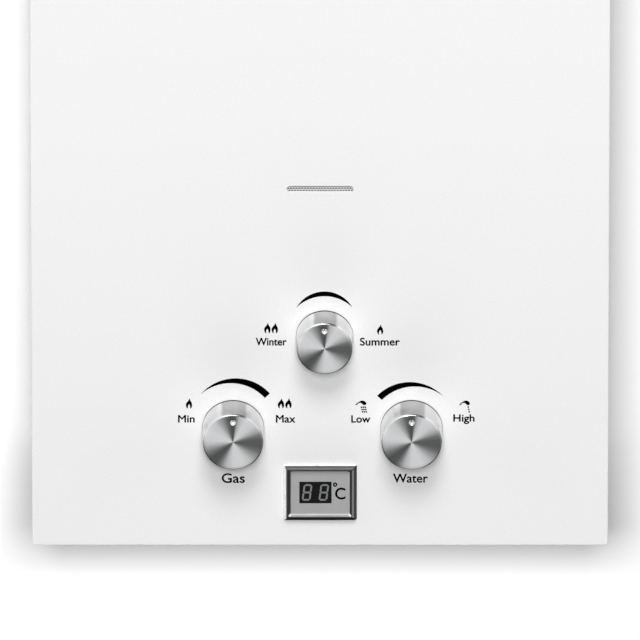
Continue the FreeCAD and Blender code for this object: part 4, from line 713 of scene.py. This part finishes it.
knob("gas_knob_turned", "gas_knob", "gas_control", BIG_KNOB_RADIUS, LONG_KNOB_FACE)
knob("water_knob_turned", "water_knob", "water_control", BIG_KNOB_RADIUS, LONG_KNOB_FACE)
knob("season_knob_turned", "season_knob", "season_control", SMALL_KNOB_RADIUS, SHORT_KNOB_FACE)


# Print on the front panel

def crescent(name, tip, outer_middle, outer_end, inner_end, inner_middle):
    """A printed arc that thins to a tip, and at its other end too where both edges end at one point."""
    outer = arc_through(tip, outer_middle, outer_end)
    inner = arc_through(inner_end, inner_middle, tip)
    first = 1 if inner_end == outer_end else 0
    print_shapes(name, [outer + inner[first:-1]])


# Tip, middle and end of the outer edge, end and middle of the inner edge, in points of the picture
ARCS = {
    "print_season_arc": ((296.5, 307.4), (324.5, 291.4), (352.5, 307.4), (352.5, 307.4), (324.5, 296.1)),
    "print_gas_arc": ((200.6, 394.2), (235.35, 378.3), (269.8, 393.4), (264.8, 398.0), (230.6, 383.1)),
    "print_water_arc": ((443.2, 396.0), (410.05, 382.05), (377.2, 395.7), (381.9, 400.0), (415.1, 386.4)),
}
for name, places in ARCS.items():
    crescent(name, *places)

# Left, top, right and bottom in points of the picture
WORDS = {
    "Winter": (255.8, 337.7, 286.5, 345.5),
    "Summer": (360.0, 337.7, 399.8, 345.5),
    "Min": (177.9, 415.1, 194.4, 422.5),
    "Max": (275.9, 415.0, 295.3, 422.7),
    "Gas": (221.6, 473.6, 244.6, 483.2),
    "Low": (351.4, 415.3, 370.3, 422.7),
    "High": (453.6, 414.4, 474.7, 424.0),
    "Water": (393.4, 474.0, 428.1, 483.0),
}
for text, edges in WORDS.items():
    word("print_" + text.lower(), text, *edges)

# Outlines in the unit square, from its lower left corner
FLAME = [
    (0.60, 1.0), (0.72, 0.80), (0.93, 0.58), (1.0, 0.34), (0.92, 0.12), (0.72, 0.0), (0.70, 0.16),
    (0.63, 0.32), (0.52, 0.44), (0.40, 0.34), (0.31, 0.20), (0.33, 0.02), (0.12, 0.10), (0.0, 0.32),
    (0.06, 0.52), (0.27, 0.68), (0.45, 0.82),
]
SPOUT = [
    (0.0, 0.02), (0.0, 0.20), (0.22, 0.60), (0.48, 0.95), (0.72, 0.98), (0.92, 0.72), (1.0, 0.38),
    (0.93, 0.08), (0.80, 0.0), (0.68, 0.12), (0.58, 0.36), (0.42, 0.52), (0.22, 0.34), (0.08, 0.0),
]
DROP_RADIUS = 0.85
DROP_STEPS = 10


def stamp(shape, left, top, right, bottom):
    """A shape of the unit square, smoothed and fitted to a box of the picture."""
    return [(left + u * (right - left), bottom + v * (top - bottom)) for u, v in rounded(shape)]


def drops(places):
    """Small round drops at points of the picture."""
    turns = [2 * math.pi * k / DROP_STEPS for k in range(DROP_STEPS)]
    return [
        [(column + DROP_RADIUS * math.cos(a), row + DROP_RADIUS * math.sin(a)) for a in turns]
        for column, row in places
    ]


FLAMES = {
    "print_winter_flames": [(264.1, 322.8, 270.5, 333.3), (271.6, 322.8, 277.9, 333.3)],
    "print_summer_flame": [(377.0, 324.5, 383.3, 334.5)],
    "print_min_flame": [(185.7, 398.4, 191.9, 408.7)],
    "print_max_flames": [(277.7, 398.4, 284.1, 408.4), (285.2, 398.4, 291.6, 408.4)],
}
for name, boxes in FLAMES.items():
    print_shapes(name, [stamp(FLAME, *edges) for edges in boxes])

# The low shower sprays three rows of drops, each a little to the right of the row above
SPRAY_START = (361.6, 407.3)
SPRAY_STEP = (1.9, 2.3)
SPRAY_SLANT = 0.5
SPRAY_COUNT = 3
spray = [
    (SPRAY_START[0] + SPRAY_STEP[0] * i + SPRAY_SLANT * j, SPRAY_START[1] + SPRAY_STEP[1] * j)
    for i in range(SPRAY_COUNT) for j in range(SPRAY_COUNT)
]
SHOWERS = {
    "print_low_shower": ((355.8, 400.6, 366.4, 405.2), spray),
    "print_high_shower": ((459.7, 400.6, 470.1, 405.2), [(468.5, 407.0), (468.9, 409.4), (469.4, 411.8)]),
}
for name, (edges, places) in SHOWERS.items():
    print_shapes(name, [stamp(SPOUT, *edges)] + drops(places))


# Display

FACE_Y = -0.141
CELSIUS = (335.2, 488.1, 345.4, 499.7)      # the letter's box in the picture
CELSIUS_WEIGHT = 0.32
DEGREE_PLACE = (335.1, 484.9)
DEGREE_RADII = (2.2, 0.8)
DEGREE_STEPS = 24

BEZEL_CORNER_STEPS = 5
# From the outside in and back: how far inside the outline to the side and upwards, height over the panel,
# corner radius, all in millimetres
BEZEL_LOOPS = [
    (0, 0, 0.0, 1.3), (0, 0, 0.7, 1.3), (0.3, 0.3, 1.5, 1.3), (0.9, 0.9, 2.4, 1.1),
    (1.6, 1.6, 2.95, 0.9), (2.2, 2.1, 3.2, 0.8), (2.8, 2.6, 3.1, 0.8), (3.1, 2.8, 2.8, 0.8),
    (3.6, 3.1, 2.1, 0.8), (4.1, 3.45, 1.4, 0.8), (4.5, 3.9, 1.05, 0.8), (4.5, 3.9, 1.0, 0.8),
    (3.3, 3.3, 1.0, 0.1), (3.3, 3.3, -14.0, 0.1), (2.1, 2.1, -14.0, 0.1), (2.1, 2.1, 0.0, 0.1),
]
# A letter for each band between two loops, by side, for painted highlights, reflections and shade: white,
# pale, mid, grey (N), deep or black (K)
BEZEL_PAINTED_LIGHT = {
    "top": "WWNNDDDDDDMMMMMM",
    "left": "WWWWMDDDDMMMMMMM",
    "right": "DDDDMMDDDPMMMMMM",
    "bottom": "KKKKKDDPPPMMMMMM",
}
GLINT_QUARTERS = (2, 3)         # the lower corners, which get a painted glint
GLINT_BANDS = (7, 8)            # the inner slope, where the painted glint goes
# Lit and shaded copies of one bright metal, for the painted highlights, reflections and shade
bezel_painted_metals = {
    "W": surface("bezel_painted_highlight", srgb(252), 0.3, tone=0.02, tone_scale=160, Metallic=0.4),
    "P": surface("bezel_painted_pale_reflection", srgb(206), 0.36, tone=0.03, tone_scale=160, grain=0.000004, Metallic=0.8),
    "M": surface("bezel_painted_mid_reflection", srgb(132), 0.42, tone=0.03, tone_scale=160, grain=0.000004, Metallic=0.7),
    "D": surface("bezel_painted_deep_shade", srgb(44), 0.4, tone=0.05, tone_scale=160, grain=0.000004, Metallic=0.5),
    "N": surface("bezel_painted_grey_reflection", srgb(96), 0.42, tone=0.03, tone_scale=160, grain=0.000004, Metallic=0.7),
    "K": surface("bezel_painted_black_shade", srgb(2), 0.6, tone=0.05, tone_scale=160, Specular_IOR_Level=0.0),
}


def bezel():
    """The display's bright frame, in rounded loops, with the sleeve behind it. Its bands carry painted
    highlights, reflections and shade by side, and painted glints in the lower inner corners.
    """
    low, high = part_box("display_bezel")
    x, z = (low.x + high.x) / 2, (low.z + high.z) / 2
    half_x, half_z = (high.x - low.x) / 2, (high.z - low.z) / 2
    points = []
    for in_x, in_z, rise, corner in BEZEL_LOOPS:
        reach_x, reach_z, round_by = half_x - in_x / 1000, half_z - in_z / 1000, corner / 1000
        for quarter, (a, b) in enumerate(((1, 1), (-1, 1), (-1, -1), (1, -1))):
            for k in range(BEZEL_CORNER_STEPS + 1):
                turn = math.pi / 2 * (quarter + k / BEZEL_CORNER_STEPS)
                points.append((
                    x + a * (reach_x - round_by) + round_by * math.cos(turn), PANEL_Y - rise / 1000,
                    z + b * (reach_z - round_by) + round_by * math.sin(turn),
                ))
    around = 4 * (BEZEL_CORNER_STEPS + 1)
    faces = []
    for band in range(len(BEZEL_LOOPS)):
        near, far = band * around, (band + 1) % len(BEZEL_LOOPS) * around
        for k in range(around):
            n = (k + 1) % around
            faces.append((near + k, near + n, far + n, far + k))
    thing = piece("bezel_pressed", points, faces, bezel_painted_metals["W"], "heater")
    letters = list(bezel_painted_metals)
    for letter in letters[1:]:
        thing.data.materials.append(bezel_painted_metals[letter])
    # Each band takes its painted light by side, and the lower inner corners a painted glint
    for polygon in thing.data.polygons:
        band, step = divmod(polygon.index, around)
        across, up = (polygon.center.x - x) / half_x, (polygon.center.z - z) / half_z
        if half_x * (1 - abs(across)) < half_z * (1 - abs(up)):
            side = "right" if across > 0 else "left"
        else:
            side = "top" if up > 0 else "bottom"
        quarter, corner_step = divmod(step, BEZEL_CORNER_STEPS + 1)
        in_corner = corner_step < BEZEL_CORNER_STEPS
        glint = in_corner and quarter in GLINT_QUARTERS and band in GLINT_BANDS
        polygon.material_index = 0 if glint else letters.index(BEZEL_PAINTED_LIGHT[side][band])
    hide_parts("display_bezel")


def degree_sign():
    """The small printed ring before the letter."""
    ring = []
    for radius in DEGREE_RADII:
        for k in range(DEGREE_STEPS):
            a = 2 * math.pi * k / DEGREE_STEPS
            column = DEGREE_PLACE[0] + radius * math.cos(a)
            row = DEGREE_PLACE[1] + radius * math.sin(a)
            ring.append(seen(column, row, FACE_Y))
    points = [(x, FACE_Y - INK, z) for x, z in ring] + [(x, FACE_Y, z) for x, z in ring]
    outer, inner, outer_back, inner_back = (DEGREE_STEPS * i for i in range(4))
    faces = []
    for k in range(DEGREE_STEPS):
        n = (k + 1) % DEGREE_STEPS
        faces += [
            (outer + k, outer + n, inner + n, inner + k),
            (outer_back + n, outer_back + k, inner_back + k, inner_back + n),
            (outer + n, outer + k, outer_back + k, outer_back + n),
            (inner + k, inner + n, inner_back + n, inner_back + k),
        ]
    piece("print_degree", points, faces, ink, "heater")


bezel()
word("print_celsius", "C", *CELSIUS, FACE_Y, CELSIUS_WEIGHT, "grey_plastic")
degree_sign()


# Springs, copied from their parts onto the heater's body

def pushed_spring(name, node):
    """A copy of a spring, in place of its part, that rides on the heater's body."""
    source = frame["nodes"][node]
    spring = bpy.data.objects.new(name, source.data.copy())
    spring.matrix_world = source.matrix_world
    bpy.context.scene.collection.objects.link(spring)
    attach(spring, "heater")
    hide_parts(node)
    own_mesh(spring)


pushed_spring("valve_return_spring", "solenoid_spring")
pushed_spring("rod_return_spring", "linkage_spring")


# Pipe threads under the casing

THREAD_ROOT = 0.0104
THREAD_CREST = 0.0109
THREAD_PITCH = 0.00181
THREAD_HALF = 0.42 * THREAD_PITCH       # half of the ridge's width at its root
THREAD_FLAT = 0.2 * THREAD_HALF         # half of its width at its crest
THREAD_LENGTH = 0.0175
THREAD_START = 0.0012                   # over the port's end
THREAD_STEPS = 48                       # in a turn
THREAD_TIP = 0.02                       # what is left of the ridge's height where it fades out


def thread(name, node):
    """A helical ridge round the spigot of a pipe port, faded in and out over a quarter turn."""
    low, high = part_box(node)
    x, y = (low.x + high.x) / 2, (low.y + high.y) / 2
    count = round(THREAD_LENGTH / THREAD_PITCH * THREAD_STEPS)
    fade = THREAD_STEPS / 4
    points, faces = [], []
    for k in range(count + 1):
        turn = 2 * math.pi * k / THREAD_STEPS
        grown = max(THREAD_TIP, min(1.0, k / fade, (count - k) / fade))
        crest = THREAD_ROOT + (THREAD_CREST - THREAD_ROOT) * grown
        middle = low.z + THREAD_START + THREAD_PITCH * k / THREAD_STEPS
        section = [
            (THREAD_ROOT, middle - THREAD_HALF), (crest, middle - THREAD_FLAT),
            (crest, middle + THREAD_FLAT), (THREAD_ROOT, middle + THREAD_HALF),
        ]
        points += [(x + radius * math.cos(turn), y + radius * math.sin(turn), z) for radius, z in section]
    for k in range(count):
        a, b = 4 * k, 4 * k + 4
        faces += [(a + i, a + (i + 1) % 4, b + (i + 1) % 4, b + i) for i in range(4)]
    faces += [(3, 2, 1, 0), tuple(4 * count + i for i in range(4))]
    piece(name, points, faces, looks["brass"], "heater", SHARP_THREAD)


for port in ("gas_inlet", "cold_inlet", "hot_outlet"):
    thread(port + "_thread", port)
